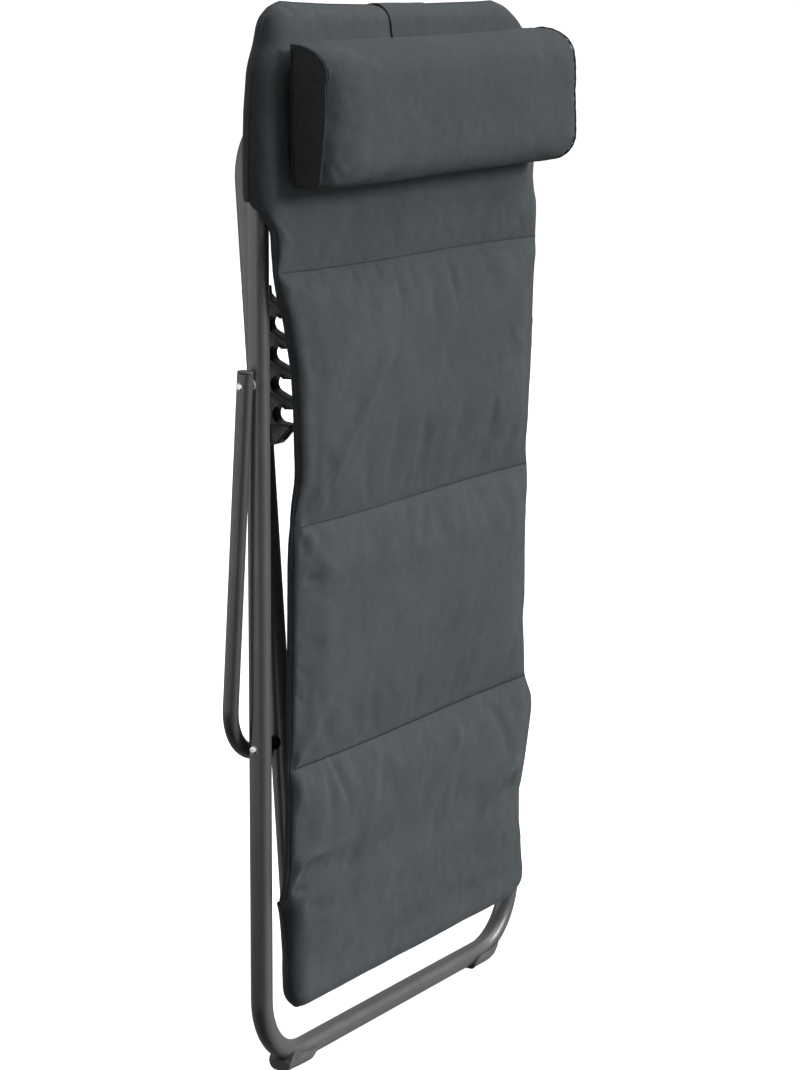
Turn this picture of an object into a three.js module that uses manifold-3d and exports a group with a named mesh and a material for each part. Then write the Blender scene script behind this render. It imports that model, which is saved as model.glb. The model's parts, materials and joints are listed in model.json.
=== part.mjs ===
// Folding padded deck chair, folded flat and standing on its lower end.
//
// Three bent steel tubes carry it:
//   back frame  - a closed loop that is the front legs below and the backrest above,
//   seat frame  - a narrower closed loop riveted inside it: seat front below, rear legs above,
//   prop        - a U outside both, riveted to the back frame, whose cross bar lies in a rack of the seat frame.
// A padded mat hangs from a pocket on the back frame's top bow to a pocket on the seat frame's front bow.
//
// Millimetres, +X across the width, +Y to the rear, +Z up.
import * as THREE from 'three';
import { mergeVertices } from 'three/addons/utils/BufferGeometryUtils.js';
import Module from 'manifold-3d';

const wasm = await Module();
wasm.setup();

// ---------------------------------------------------------------- driving dimensions
const GAP = 0.3;                 // clearance between touching pieces
const TUBE_R = 12.5;             // back and seat frame tube, 25 mm outside
const PROP_R = 9;                // prop tube, 18 mm outside
const TUBE_SIDES = 20;

const BACK_HALF = 280;           // back frame side tube, centre line, from the middle
const BACK_BEND = 83;            // bend radius on the centre line
const BACK_BOTTOM = 12.5;        // height of the bottom bar's centre line
const BACK_TOP = 1186;           // height of the top bow's centre line
const BACK_SPLICE = 1040;        // height where the top bow plugs into the main bow
const SPLICE_LEN = 40;

const PIVOT_Z = 391;             // seat frame pivot, height
const SEAT_HALF = 239;           // seat frame side tube, centre line
const SEAT_BEND = 68;
const SEAT_FRONT_BEND = 60;
const SEAT_REAR = 691;           // pivot to foot bar centre line
const SEAT_FRONT = 296;          // pivot to front bar centre line
const SEAT_SPLICE = 196;         // pivot down to the splice under the mat's pocket
const SEAT_TILT = 3.95;          // degrees, foot end to the rear when folded

const PROP_Z = 800;              // prop pivot, height
const PROP_HALF = 305.5;         // prop side tube, centre line
const PROP_BEND = 62;
const PROP_LEN = 424.5;          // pivot to cross bar centre line
const PROP_ABOVE = 14;           // tube above the pivot
const PROP_TILT = 3.45;          // degrees, cross bar to the rear when folded

const RACK_NOTCH = [469.4, 436.1, 402.8, 369.5];   // notch centres along the seat frame, from the pivot
const RACK_SEAT_V = 30.8;        // notch centre in front of the seat tube's centre line
const RACK_SEAT_R = 9.35;        // notch radius
const RACK_TIP_V = 51;           // how far the teeth reach in front of the centre line
const RACK_WIDTH = 17;

const PIN_R = 3;                 // pivot rivets
const HEAD_R = 5;
const SOLE = 3.0;                // foot pads stand this far below the bottom bar
const MAT_T = 14;                // mat thickness
const ORIGIN_Y = 11.7;            // shifts the model so that the origin is under the middle of its box

const PILLOW_HALF = 260, PILLOW_LOW = 1013, PILLOW_HIGH = 1170, PILLOW_BACK = -31, PILLOW_FRONT = -88;
const PILLOW_ROLL = 1.1;         // degrees, right end up

const rad = THREE.MathUtils.degToRad;

// ---------------------------------------------------------------- finishes
const mat = (color, roughness, metalness) => new THREE.MeshStandardMaterial({ color, roughness, metalness });
const tubeGrey = mat(0x53565a, 0.42, 0.55);
const propGrey = mat(0x53565a, 0.42, 0.55);
const blackPlastic = mat(0x191b1d, 0.55, 0.0);
const greyPlastic = mat(0x3a3d40, 0.6, 0.0);
const zinc = mat(0xc3c5c6, 0.3, 0.9);
const fabric = mat(0x42484b, 0.85, 0.0);

// ---------------------------------------------------------------- helpers
const root = new THREE.Group();
const chair = new THREE.Group();
chair.position.set(0, ORIGIN_Y, SOLE);
root.add(chair);
const seatGroup = new THREE.Group();
seatGroup.position.set(0, 0, PIVOT_Z);
seatGroup.rotation.x = -rad(SEAT_TILT);
chair.add(seatGroup);
const propGroup = new THREE.Group();
propGroup.position.set(0, 0, PROP_Z);
propGroup.rotation.x = rad(PROP_TILT);
chair.add(propGroup);

function put(group, name, geometry, material) {
  const mesh = new THREE.Mesh(geometry, material);
  mesh.name = name;
  group.add(mesh);
  return mesh;
}

// closed three.js geometry <-> manifold solid
function solid(geometry) {
  const g = geometry.clone();
  g.deleteAttribute('normal');
  g.deleteAttribute('uv');
  const m = mergeVertices(g, 1e-4);
  return new wasm.Manifold(new wasm.Mesh({
    numProp: 3,
    vertProperties: new Float32Array(m.attributes.position.array),
    triVerts: new Uint32Array(m.index.array),
  }));
}
function geometryOf(manifold) {
  const m = manifold.getMesh();
  const g = new THREE.BufferGeometry();
  const p = new Float32Array(m.numVert * 3);
  for (let i = 0; i < m.numVert; i++) for (let k = 0; k < 3; k++) p[3 * i + k] = m.vertProperties[i * m.numProp + k];
  g.setAttribute('position', new THREE.BufferAttribute(p, 3));
  g.setIndex(new THREE.BufferAttribute(new Uint32Array(m.triVerts), 1));
  return g;
}

// a curve through listed points, sampled only at those points
class PointPath extends THREE.Curve {
  constructor(points) { super(); this.points = points; }
  getPoint(t, target = new THREE.Vector3()) {
    const n = this.points.length - 1;
    const f = Math.min(Math.max(t * n, 0), n);
    const i = Math.min(Math.floor(f), n - 1);
    return target.copy(this.points[i]).lerp(this.points[i + 1], f - i);
  }
  getPointAt(u, target) { return this.getPoint(u, target); }
  getTangentAt(u, target = new THREE.Vector3()) {
    const n = this.points.length - 1;
    const i = Math.round(u * n);
    const a = this.points[Math.max(i - 1, 0)], b = this.points[i], c = this.points[Math.min(i + 1, n)];
    const d1 = b.clone().sub(a), d2 = c.clone().sub(b);
    if (d1.lengthSq() > 0) d1.normalize();
    if (d2.lengthSq() > 0) d2.normalize();
    return target.copy(d1.add(d2).normalize());
  }
}
function circle(radius, sides) {
  const pts = [];
  for (let i = 0; i < sides; i++) {
    const a = (i + 0.5) / sides * 2 * Math.PI;
    pts.push(new THREE.Vector2(radius * Math.cos(a), radius * Math.sin(a)));
  }
  return new THREE.Shape(pts);
}
function tube(points, radius, sides = TUBE_SIDES) {
  return new THREE.ExtrudeGeometry(circle(radius, sides), {
    steps: points.length - 1, bevelEnabled: false, extrudePath: new PointPath(points),
  });
}
// U in the XZ plane: up or down legs from endZ to a cross bar at barZ
function bowPoints(half, bend, endZ, barZ, segments = 8) {
  const s = Math.sign(barZ - endZ);
  const cz = barZ - s * bend;
  const pts = [new THREE.Vector3(-half, 0, endZ)];
  for (let i = 0; i <= segments; i++) {
    const a = i / segments * Math.PI / 2;
    pts.push(new THREE.Vector3(-half + bend - bend * Math.cos(a), 0, cz + s * bend * Math.sin(a)));
  }
  for (let i = 0; i <= segments; i++) {
    const a = i / segments * Math.PI / 2;
    pts.push(new THREE.Vector3(half - bend + bend * Math.sin(a), 0, cz + s * bend * Math.cos(a)));
  }
  pts.push(new THREE.Vector3(half, 0, endZ));
  return pts;
}
const rodX = (x0, x1, z, r, sides = 14) => {
  const g = new THREE.CylinderGeometry(r, r, Math.abs(x1 - x0), sides);
  g.rotateZ(Math.PI / 2);
  g.translate((x0 + x1) / 2, 0, z);
  return g;
};
const rodZ = (x, z0, z1, r, sides = 16) => {
  const g = new THREE.CylinderGeometry(r, r, Math.abs(z1 - z0), sides);
  g.rotateX(Math.PI / 2);
  g.translate(x, 0, (z0 + z1) / 2);
  return g;
};
// lathe about X: profile of [x, r] pairs
function latheX(profile, side = 1, z = 0, sides = 16) {
  const pts = profile.map(([x, r]) => new THREE.Vector2(r, x));
  let g = new THREE.LatheGeometry(pts, sides);
  g.rotateZ(-Math.PI / 2);            // +Y -> +X
  if (side < 0) g.rotateZ(Math.PI);   // turned end for end, still right side out
  g.translate(0, 0, z);
  return g;
}
// outline [x, z] pairs extruded to a slab whose middle surface is y = mid(z)
function slab(outline, mid, thickness, bevel, cut = []) {
  const shape = new THREE.Shape(outline.map(([x, z]) => new THREE.Vector2(x, z)));
  const g = new THREE.ExtrudeGeometry(shape, {
    depth: thickness - 2 * bevel, bevelEnabled: bevel > 0, bevelThickness: bevel, bevelSize: bevel,
    bevelOffset: -bevel, bevelSegments: 2, steps: 1,
  });
  g.translate(0, 0, -(thickness - 2 * bevel) / 2);
  g.rotateX(Math.PI / 2);             // shape XY -> XZ, depth -> -Y
  const p = g.attributes.position;
  for (let i = 0; i < p.count; i++) p.setY(i, p.getY(i) + mid(p.getZ(i)));
  return g;
}
const mirrorOutline = (right) => [...right, ...right.slice().reverse().map(([x, z]) => [-x, z])];

// ---------------------------------------------------------------- back frame
const backMain = bowPoints(BACK_HALF, BACK_BEND, BACK_SPLICE - GAP / 2, BACK_BOTTOM);
const backTop = bowPoints(BACK_HALF, BACK_BEND, BACK_SPLICE + GAP / 2, BACK_TOP);
const SPIGOT_R = 10.7, SOCKET_R = 11.0;
{
  let main = solid(tube(backMain, TUBE_R));
  for (const s of [-1, 1]) {
    main = main.subtract(solid(rodZ(s * BACK_HALF, BACK_SPLICE - SPLICE_LEN, BACK_SPLICE + 5, SOCKET_R)));
    main = main.subtract(solid(rodX(s * (BACK_HALF - 20), s * (BACK_HALF + 20), PIVOT_Z, PIN_R + GAP)));
    main = main.subtract(solid(rodX(s * (BACK_HALF - 20), s * (BACK_HALF + 20), PROP_Z, PIN_R + GAP)));
  }
  put(chair, 'back_frame_main_bow', geometryOf(main), tubeGrey);
  let top = solid(tube(backTop, TUBE_R));
  for (const s of [-1, 1]) top = top.add(solid(rodZ(s * BACK_HALF, BACK_SPLICE - SPLICE_LEN + 2, BACK_SPLICE + 10, SPIGOT_R)));
  put(chair, 'back_frame_top_bow', geometryOf(top), tubeGrey);
}

// foot pad: a clip under the end of a bend with a flat sole.
// outline in XZ beside a bar whose bend is centred at (half - bend, barZ + bend); down is the sole side
function footPad(half, bend, barZ, path, side, shift) {
  // a clip round the tube's lower half: walls up to the tube's middle, broken lower edges, a flat sole
  const cx = half - bend, cz = barZ + bend, low = barZ - TUBE_R - SOLE;
  const a = cx + shift;
  const at = (x) => (x > cx ? cz - Math.sqrt(bend * bend - (x - cx) * (x - cx)) : barZ);
  const pts = [[a - 19, barZ - 8], [a - 14, low], [a + 24, low], [a + 34, low + 1.8], [a + 41, low + 6]];
  for (const d of [41, 34, 26, 16, 6]) pts.push([a + d, at(a + d) + 0.8]);
  pts.push([a - 8, at(a - 8) + 0.8], [a - 19, barZ - 1]);
  const g = slab(pts.map(([x, z]) => [x * side, z]), () => 0, 2 * (TUBE_R + 3.2), 2.6);
  const s = solid(g).subtract(solid(tube(path, TUBE_R + GAP + 0.1, 20)));
  return geometryOf(s);
}
put(chair, 'foot_pad_left', footPad(BACK_HALF, BACK_BEND, BACK_BOTTOM, backMain, -1, 9), greyPlastic);
put(chair, 'foot_pad_right', footPad(BACK_HALF, BACK_BEND, BACK_BOTTOM, backMain, 1, -9), greyPlastic);

// ---------------------------------------------------------------- seat frame (group turned about the pivot)
const seatRear = bowPoints(SEAT_HALF, SEAT_BEND, -SEAT_SPLICE + GAP / 2, SEAT_REAR);
const seatFront = bowPoints(SEAT_HALF, SEAT_FRONT_BEND, -SEAT_SPLICE - GAP / 2, -SEAT_FRONT);
{
  let rear = solid(tube(seatRear, TUBE_R));
  for (const s of [-1, 1]) {
    rear = rear.subtract(solid(rodZ(s * SEAT_HALF, -SEAT_SPLICE - 5, -SEAT_SPLICE + SPLICE_LEN, SOCKET_R)));
    rear = rear.subtract(solid(rodX(s * (SEAT_HALF - 20), s * (SEAT_HALF + 20), 0, PIN_R + GAP)));
    for (const u of [RACK_RIVET(0), RACK_RIVET(1)]) {
      const g = new THREE.CylinderGeometry(2 + GAP, 2 + GAP, 60, 16);
      g.translate(s * SEAT_HALF, 0, u);
      rear = rear.subtract(solid(g));
    }
  }
  put(seatGroup, 'seat_frame_rear_bow', geometryOf(rear), tubeGrey);
  let front = solid(tube(seatFront, TUBE_R));
  for (const s of [-1, 1]) front = front.add(solid(rodZ(s * SEAT_HALF, -SEAT_SPLICE - 10, -SEAT_SPLICE + SPLICE_LEN - 2, SPIGOT_R)));
  put(seatGroup, 'seat_frame_front_bow', geometryOf(front), tubeGrey);
}
function RACK_RIVET(i) { return i ? 347 : 505; }

// rear foot pads, on the foot bar: the same clip, sole away from the pivot
for (const [name, side] of [['rear_foot_pad_left', -1], ['rear_foot_pad_right', 1]]) {
  const flipped = seatRear.map((p) => new THREE.Vector3(p.x, 0, -p.z));
  const g = footPad(SEAT_HALF, SEAT_BEND, -SEAT_REAR, flipped, side, 0);
  g.rotateY(Math.PI);
  put(seatGroup, side < 0 ? 'rear_foot_pad_right' : 'rear_foot_pad_left', g, greyPlastic);
}

// rack: hooked teeth in front of the side tube; local v = forward (-Y), u = up
function rackOutline() {
  const pts = [];                       // [v, u]
  const back = TUBE_R - 4;
  pts.push([back, 511], [19.5, 511], [19.5, 502.5], [26.3, 495.5]);
  const slope = Math.tan(rad(26.5));
  let from = [26.3, 495.5];
  RACK_NOTCH.forEach((c, i) => {
    // tooth above the notch: sloping top, blunt tip, flat underside
    const tipTop = from[1] - (RACK_TIP_V - 2 - from[0]) * slope;
    const under = c + 5.9;
    pts.push([RACK_TIP_V - 2, tipTop], [RACK_TIP_V, tipTop - 2.5], [RACK_TIP_V - 0.6, under + 1.2], [RACK_TIP_V - 2, under]);
    // round seat
    // the arc ends where the next sloping edge leaves it; the end piece below the last notch is flatter
    const a0 = Math.asin(5.9 / RACK_SEAT_R), a1 = i < RACK_NOTCH.length - 1 ? rad(243.5) : rad(260.4);
    for (let k = 0; k <= 10; k++) {
      const a = a0 + (a1 - a0) * k / 10;
      pts.push([RACK_SEAT_V + RACK_SEAT_R * Math.cos(a), c + RACK_SEAT_R * Math.sin(a)]);
    }
    from = pts[pts.length - 1];
  });
  // end piece
  pts.push([RACK_TIP_V - 1.5, from[1] - (RACK_TIP_V - 1.5 - from[0]) * 0.17], [RACK_TIP_V, from[1] - 6.5], [31, 337.8], [22, 335.5], [back, 335.5]);
  return pts;
}
function rack(side) {
  const shape = new THREE.Shape(rackOutline().map(([v, u]) => new THREE.Vector2(v, u)));
  const g = new THREE.ExtrudeGeometry(shape, { depth: RACK_WIDTH - 1.6, bevelEnabled: true, bevelThickness: 0.8, bevelSize: 0.8, bevelOffset: -0.8, bevelSegments: 1, steps: 1 });
  g.translate(0, 0, -(RACK_WIDTH - 1.6) / 2);
  // shape x (v) -> -Y, shape y (u) -> +Z, depth -> X
  const m = new THREE.Matrix4().makeBasis(new THREE.Vector3(0, -1, 0), new THREE.Vector3(0, 0, 1), new THREE.Vector3(-1, 0, 0));
  g.applyMatrix4(m);
  g.translate(side * SEAT_HALF, 0, 0);
  let s = solid(g);
  s = s.subtract(solid(rodZ(side * SEAT_HALF, 325, 520, TUBE_R + GAP, 32)));   // saddle for the tube
  // moulded pockets in both cheeks of each tooth
  const cheeks = [484, 450.7, 417.4, 384.1];
  for (const u of cheeks) {
    for (const e of [-1, 1]) {
      const p = new THREE.Shape([new THREE.Vector2(16, u + 4.5), new THREE.Vector2(16, u - 3.5), new THREE.Vector2(22, u - 1.2), new THREE.Vector2(32, u - 4.2), new THREE.Vector2(25, u + 3)]);
      const q = new THREE.ExtrudeGeometry(p, { depth: 5, bevelEnabled: false });
      q.translate(0, 0, e > 0 ? 3.5 : -8.5);
      q.applyMatrix4(m);
      q.translate(side * SEAT_HALF, 0, 0);
      s = s.subtract(solid(q.clone()).translate([e > 0 ? -1.2 : 1.2, 0, 0]));
    }
  }
  for (const u of [RACK_RIVET(0), RACK_RIVET(1)]) {
    const h = new THREE.CylinderGeometry(2 + GAP, 2 + GAP, 80, 16);
    h.translate(side * SEAT_HALF, 0, u);
    s = s.subtract(solid(h));
    const cb = new THREE.CylinderGeometry(4.4, 4.4, 60, 20);      // counterbore for the rivet head
    cb.translate(side * SEAT_HALF, -18 - 30, u);
    s = s.subtract(solid(cb));
  }
  return geometryOf(s);
}
for (const [tag, side] of [['left', -1], ['right', 1]]) {
  put(seatGroup, `rack_${tag}`, rack(side), blackPlastic);
  for (const [i, which] of [[0, 'upper'], [1, 'lower']]) {
    // blind rivet from the front of the rack through the tube
    const g = new THREE.LatheGeometry([
      new THREE.Vector2(0, -13.5), new THREE.Vector2(3.6, -13.5), new THREE.Vector2(4.0, -12.9), new THREE.Vector2(2, -12.8),
      new THREE.Vector2(2, 18.3), new THREE.Vector2(4.0, 18.3), new THREE.Vector2(3.4, 19.8), new THREE.Vector2(1.5, 20.4), new THREE.Vector2(0, 20.4),
    ], 12);
    g.rotateX(Math.PI);
    g.translate(side * SEAT_HALF, 0, RACK_RIVET(i));
    put(seatGroup, `rack_rivet_${which}_${tag}`, g, zinc);
  }
}

// ---------------------------------------------------------------- prop (group turned about its pivot)
{
  const pts = bowPoints(PROP_HALF, PROP_BEND, PROP_ABOVE, -PROP_LEN);
  let s = solid(tube(pts, PROP_R, 18));
  for (const e of [-1, 1]) {
    s = s.subtract(solid(rodZ(e * PROP_HALF, PROP_ABOVE - 9, PROP_ABOVE + 5, 7.3, 18)));
    s = s.subtract(solid(rodX(e * (PROP_HALF - 15), e * (PROP_HALF + 15), 0, PIN_R + GAP)));
  }
  put(propGroup, 'prop_bow', geometryOf(s), propGrey);
  for (const [tag, e] of [['left', -1], ['right', 1]]) {
    const g = new THREE.LatheGeometry([
      new THREE.Vector2(0, -8), new THREE.Vector2(6.4, -8), new THREE.Vector2(7, -7), new THREE.Vector2(7, GAP), new THREE.Vector2(8.9, GAP),
      new THREE.Vector2(8.9, 1.4), new THREE.Vector2(8.1, 2.3), new THREE.Vector2(0, 2.5),
    ], 16);
    g.rotateX(Math.PI / 2);
    g.translate(e * PROP_HALF, 0, PROP_ABOVE);
    put(propGroup, `prop_end_plug_${tag}`, g, blackPlastic);
  }
}

// ---------------------------------------------------------------- pivots
for (const [tag, side] of [['left', -1], ['right', 1]]) {
  const inner = SEAT_HALF - TUBE_R, outer = BACK_HALF + TUBE_R;
  put(chair, `seat_pivot_rivet_${tag}`, latheX([
    [inner - 3.2, 0], [inner - 3.0, 2.6], [inner - 2.0, HEAD_R - 0.6], [inner - GAP, HEAD_R], [inner - GAP, PIN_R],
    [outer + GAP, PIN_R], [outer + GAP, HEAD_R], [outer + 1.6, HEAD_R - 0.5], [outer + 2.7, 2.9], [outer + 3.0, 0],
  ], side, PIVOT_Z), zinc);
  put(chair, `seat_pivot_spacer_${tag}`, latheX([
    [SEAT_HALF + TUBE_R + GAP, PIN_R + GAP], [SEAT_HALF + TUBE_R + GAP, 8], [BACK_HALF - TUBE_R - GAP, 8],
    [BACK_HALF - TUBE_R - GAP, PIN_R + GAP], [SEAT_HALF + TUBE_R + GAP, PIN_R + GAP],
  ], side, PIVOT_Z), blackPlastic);
  const pin = BACK_HALF - TUBE_R, pout = PROP_HALF + PROP_R;
  put(chair, `prop_pivot_rivet_${tag}`, latheX([
    [pin - 3.0, 0], [pin - 2.8, 2.6], [pin - 2.0, HEAD_R - 0.8], [pin - GAP, HEAD_R - 0.3], [pin - GAP, PIN_R],
    [pout + GAP, PIN_R], [pout + GAP, HEAD_R - 0.3], [pout + 1.4, HEAD_R - 0.8], [pout + 2.3, 2.7], [pout + 2.6, 0],
  ], side, PROP_Z), zinc);
  put(chair, `prop_spacer_${tag}`, latheX([
    [BACK_HALF + TUBE_R + GAP, PIN_R + GAP], [BACK_HALF + TUBE_R + GAP, 6.2], [PROP_HALF - PROP_R - GAP, 6.2],
    [PROP_HALF - PROP_R - GAP, PIN_R + GAP], [BACK_HALF + TUBE_R + GAP, PIN_R + GAP],
  ], side, PROP_Z), blackPlastic);
}

// ---------------------------------------------------------------- mat
const seatY = (z) => (z - PIVOT_Z) * Math.tan(rad(SEAT_TILT));       // seat frame's plane
// middle surface of the mat
const matKeys = [[80, -24], [205, -33], [250, -30.5], [347, -28.5], [417, -27.5], [560, -27.5], [640, -31], [700, -35], [752, -35.5], [790, -33], [850, -29.5], [912, -24.5], [1010, -22]];
function matMid(z) {
  const k = matKeys;
  if (z <= k[0][0]) return k[0][1];
  for (let i = 1; i < k.length; i++) if (z <= k[i][0]) return k[i - 1][1] + (k[i][1] - k[i - 1][1]) * (z - k[i - 1][0]) / (k[i][0] - k[i - 1][0]);
  return k[k.length - 1][1];
}
const SEAM1 = 921, SEAM2 = 640, FOLD_HIGH = 421, FOLD_LOW = 351;

{ // head panel with the pocket round the back frame's top bow
  const pocket = slab(mirrorOutline([
    [281, 975], [288, 1000], [294.5, 1012], [294.5, 1104], [291.5, 1128], [284, 1150], [273, 1169], [259, 1186], [248, 1197], [236, 1203.5], [222, 1206],
  ]), () => -4.75, 38.5, 9);
  const panel = slab(mirrorOutline([[276.5, SEAM1 + GAP / 2], [281, 957], [282, 990], [281, 1010]]), matMid, MAT_T, 3);
  let s = solid(pocket).subtract(solid(new THREE.BoxGeometry(700, 60, 60).translate(0, 16.5, 975)));   // mat alone below the pocket's mouth
  s = s.add(solid(panel));
  s = s.subtract(solid(tube([new THREE.Vector3(-BACK_HALF, 0, 900), ...bowPoints(BACK_HALF, BACK_BEND, 901, BACK_TOP), new THREE.Vector3(BACK_HALF, 0, 900)], TUBE_R + GAP + 0.15, 16)));
  put(chair, 'mat_head_panel', geometryOf(s), fabric);
}
put(chair, 'mat_back_panel', slab(mirrorOutline([
  [247, SEAM2 + GAP / 2], [250, 700], [256, 752], [260, 790], [267, 850], [276, SEAM1 - GAP / 2],
]), matMid, MAT_T, 3), fabric);
put(chair, 'mat_seat_panel', slab(mirrorOutline([
  [257, FOLD_HIGH + GAP / 2], [258, 520], [257, 600], [247, SEAM2 - GAP / 2],
]), matMid, MAT_T, 3), fabric);
put(chair, 'mat_fold_strip', slab(mirrorOutline([
  [262, FOLD_LOW + GAP / 2], [255, 367], [257, FOLD_HIGH - GAP / 2],
]), matMid, MAT_T, 3), fabric);
{ // front panel with the pocket round the seat frame's front bow
  const pocket = slab(mirrorOutline([
    [249, 215], [253.5, 205], [253.5, 108], [251, 94], [243, 84], [230, 80],
  ].reverse()), (z) => seatY(z) - 2.4, 33, 8);
  const panel = slab(mirrorOutline([[250, 190], [254, 215], [257, 250], [262, 300], [264, 330], [262, FOLD_LOW - GAP / 2]]), matMid, MAT_T, 3);
  let s = solid(pocket).add(solid(panel));
  const ch = bowPoints(SEAT_HALF, SEAT_FRONT_BEND, 0, -SEAT_FRONT).map((p) => new THREE.Vector3(p.x, p.z * Math.sin(rad(SEAT_TILT)), p.z * Math.cos(rad(SEAT_TILT)) + PIVOT_Z));
  s = s.subtract(solid(tube(ch, TUBE_R + GAP + 0.15, 16)));
  put(chair, 'mat_front_panel', geometryOf(s), fabric);
}

// ---------------------------------------------------------------- head pillow and its strap
{
  // D section in YZ: flat back, rounded front
  const s = new THREE.Shape();
  const b = PILLOW_BACK, f = PILLOW_FRONT, lo = PILLOW_LOW, hi = PILLOW_HIGH;
  s.moveTo(-b, lo);
  s.lineTo(-f - 18, lo + 2);
  s.absarc(-f - 18, lo + 20, 18, -Math.PI / 2, 0, false);
  s.lineTo(-f, hi - 36);
  s.absarc(-f - 34, hi - 36, 34, 0, Math.PI / 2, false);
  s.lineTo(-b, hi);
  s.closePath();
  const g = new THREE.ExtrudeGeometry(s, { depth: 2 * PILLOW_HALF - 10, bevelEnabled: true, bevelThickness: 5, bevelSize: 5, bevelOffset: -5, bevelSegments: 2, steps: 1, curveSegments: 6 });
  g.translate(0, 0, -(PILLOW_HALF - 5));
  g.applyMatrix4(new THREE.Matrix4().makeBasis(new THREE.Vector3(0, -1, 0), new THREE.Vector3(0, 0, 1), new THREE.Vector3(-1, 0, 0)));
  const pillow = put(chair, 'head_pillow', g, fabric);
  pillow.rotation.y = -rad(PILLOW_ROLL);
  pillow.geometry.translate(0, 0, -(lo + hi) / 2);
  pillow.position.z = (lo + hi) / 2;
}
{
  // band from behind the pillow's top edge, over the mat's top and down its back
  const mid = [[-26.4, 1120], [-26.4, 1197], [-23.6, 1204.4], [-16.4, 1207.6], [6.2, 1207.6], [13.6, 1204.4], [16.3, 1197], [16.3, 1070]];
  const t = 1.1;
  const left = [], right = [];
  mid.forEach((p, i) => {
    const a = mid[Math.max(i - 1, 0)], c = mid[Math.min(i + 1, mid.length - 1)];
    const d = new THREE.Vector2(c[0] - a[0], c[1] - a[1]).normalize();
    left.push([p[0] - d.y * t, p[1] + d.x * t]);
    right.push([p[0] + d.y * t, p[1] - d.x * t]);
  });
  const shape = new THREE.Shape([...left, ...right.reverse()].map(([y, z]) => new THREE.Vector2(-y, z)));
  const g = new THREE.ExtrudeGeometry(shape, { depth: 90, bevelEnabled: false, steps: 1 });
  g.translate(0, 0, -45 - 5);
  g.applyMatrix4(new THREE.Matrix4().makeBasis(new THREE.Vector3(0, -1, 0), new THREE.Vector3(0, 0, 1), new THREE.Vector3(-1, 0, 0)));
  put(chair, 'pillow_strap', g, fabric);
}

export default root;
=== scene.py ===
import json
import math
import bpy
import bmesh
import numpy as np
from mathutils import Matrix, Vector

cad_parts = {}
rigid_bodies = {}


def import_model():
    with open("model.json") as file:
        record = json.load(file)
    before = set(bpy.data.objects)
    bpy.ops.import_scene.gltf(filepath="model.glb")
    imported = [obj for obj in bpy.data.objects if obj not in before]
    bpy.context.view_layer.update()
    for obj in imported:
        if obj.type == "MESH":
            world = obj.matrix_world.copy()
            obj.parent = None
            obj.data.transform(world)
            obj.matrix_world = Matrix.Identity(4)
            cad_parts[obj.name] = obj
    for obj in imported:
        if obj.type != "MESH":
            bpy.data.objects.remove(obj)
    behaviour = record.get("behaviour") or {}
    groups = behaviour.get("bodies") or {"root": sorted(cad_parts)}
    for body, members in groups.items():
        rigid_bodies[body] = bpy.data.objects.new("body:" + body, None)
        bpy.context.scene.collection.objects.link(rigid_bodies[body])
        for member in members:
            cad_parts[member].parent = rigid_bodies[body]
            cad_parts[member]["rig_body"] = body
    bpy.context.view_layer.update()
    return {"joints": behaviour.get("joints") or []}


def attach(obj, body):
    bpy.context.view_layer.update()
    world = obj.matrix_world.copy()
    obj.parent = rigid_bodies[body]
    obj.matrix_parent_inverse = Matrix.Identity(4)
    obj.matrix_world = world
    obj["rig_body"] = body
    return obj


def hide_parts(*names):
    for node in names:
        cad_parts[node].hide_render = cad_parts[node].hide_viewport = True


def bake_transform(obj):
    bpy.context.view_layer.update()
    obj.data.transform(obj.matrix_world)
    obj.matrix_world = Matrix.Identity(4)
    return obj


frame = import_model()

rng = np.random.default_rng(7)
rad = math.radians

# ------------------------------------------------------------------ frame numbers (mm in the chair's own frame)
JOINT = {j["name"]: j for j in frame["joints"]}
OY = JOINT["seat_frame_fold"]["pos_m"][1]
SOLE = JOINT["seat_frame_fold"]["pos_m"][2] - 0.391

TUBE_R, PROP_R = 12.5, 9.0
BACK_HALF, BACK_BEND, BACK_BOTTOM, BACK_TOP, BACK_SPLICE = 280.0, 83.0, 12.5, 1186.0, 1040.0
PIVOT_Z, SEAT_HALF, SEAT_BEND, SEAT_FRONT_BEND = 391.0, 239.0, 68.0, 60.0
SEAT_REAR, SEAT_FRONT, SEAT_SPLICE, SEAT_TILT = 691.0, 296.0, 196.0, rad(3.95)
PROP_Z, PROP_HALF, PROP_BEND, PROP_LEN, PROP_ABOVE, PROP_TILT = 800.0, 305.5, 62.0, 424.5, 14.0, rad(3.45)
NOTCH = [469.4, 436.1, 402.8, 369.5]
SEAM1, SEAM2, SEAM3 = 921.0, 640.0, 366.0


def row(p):
    """mm in the chair's frame -> metres in the row frame"""
    p = np.array(p, float) * 0.001
    p[..., 1] += OY
    p[..., 2] += SOLE
    return p


def seat_to_chair(p):
    p = np.array(p, float)
    q = p.copy()
    c, s = math.cos(SEAT_TILT), math.sin(SEAT_TILT)
    q[..., 1] = p[..., 1] * c + p[..., 2] * s
    q[..., 2] = PIVOT_Z - p[..., 1] * s + p[..., 2] * c
    return q


def prop_to_chair(p):
    p = np.array(p, float)
    q = p.copy()
    c, s = math.cos(PROP_TILT), math.sin(PROP_TILT)
    q[..., 1] = p[..., 1] * c - p[..., 2] * s
    q[..., 2] = PROP_Z + p[..., 1] * s + p[..., 2] * c
    return q


def seat_y(z):
    return (z - PIVOT_Z) * math.tan(SEAT_TILT)


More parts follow.
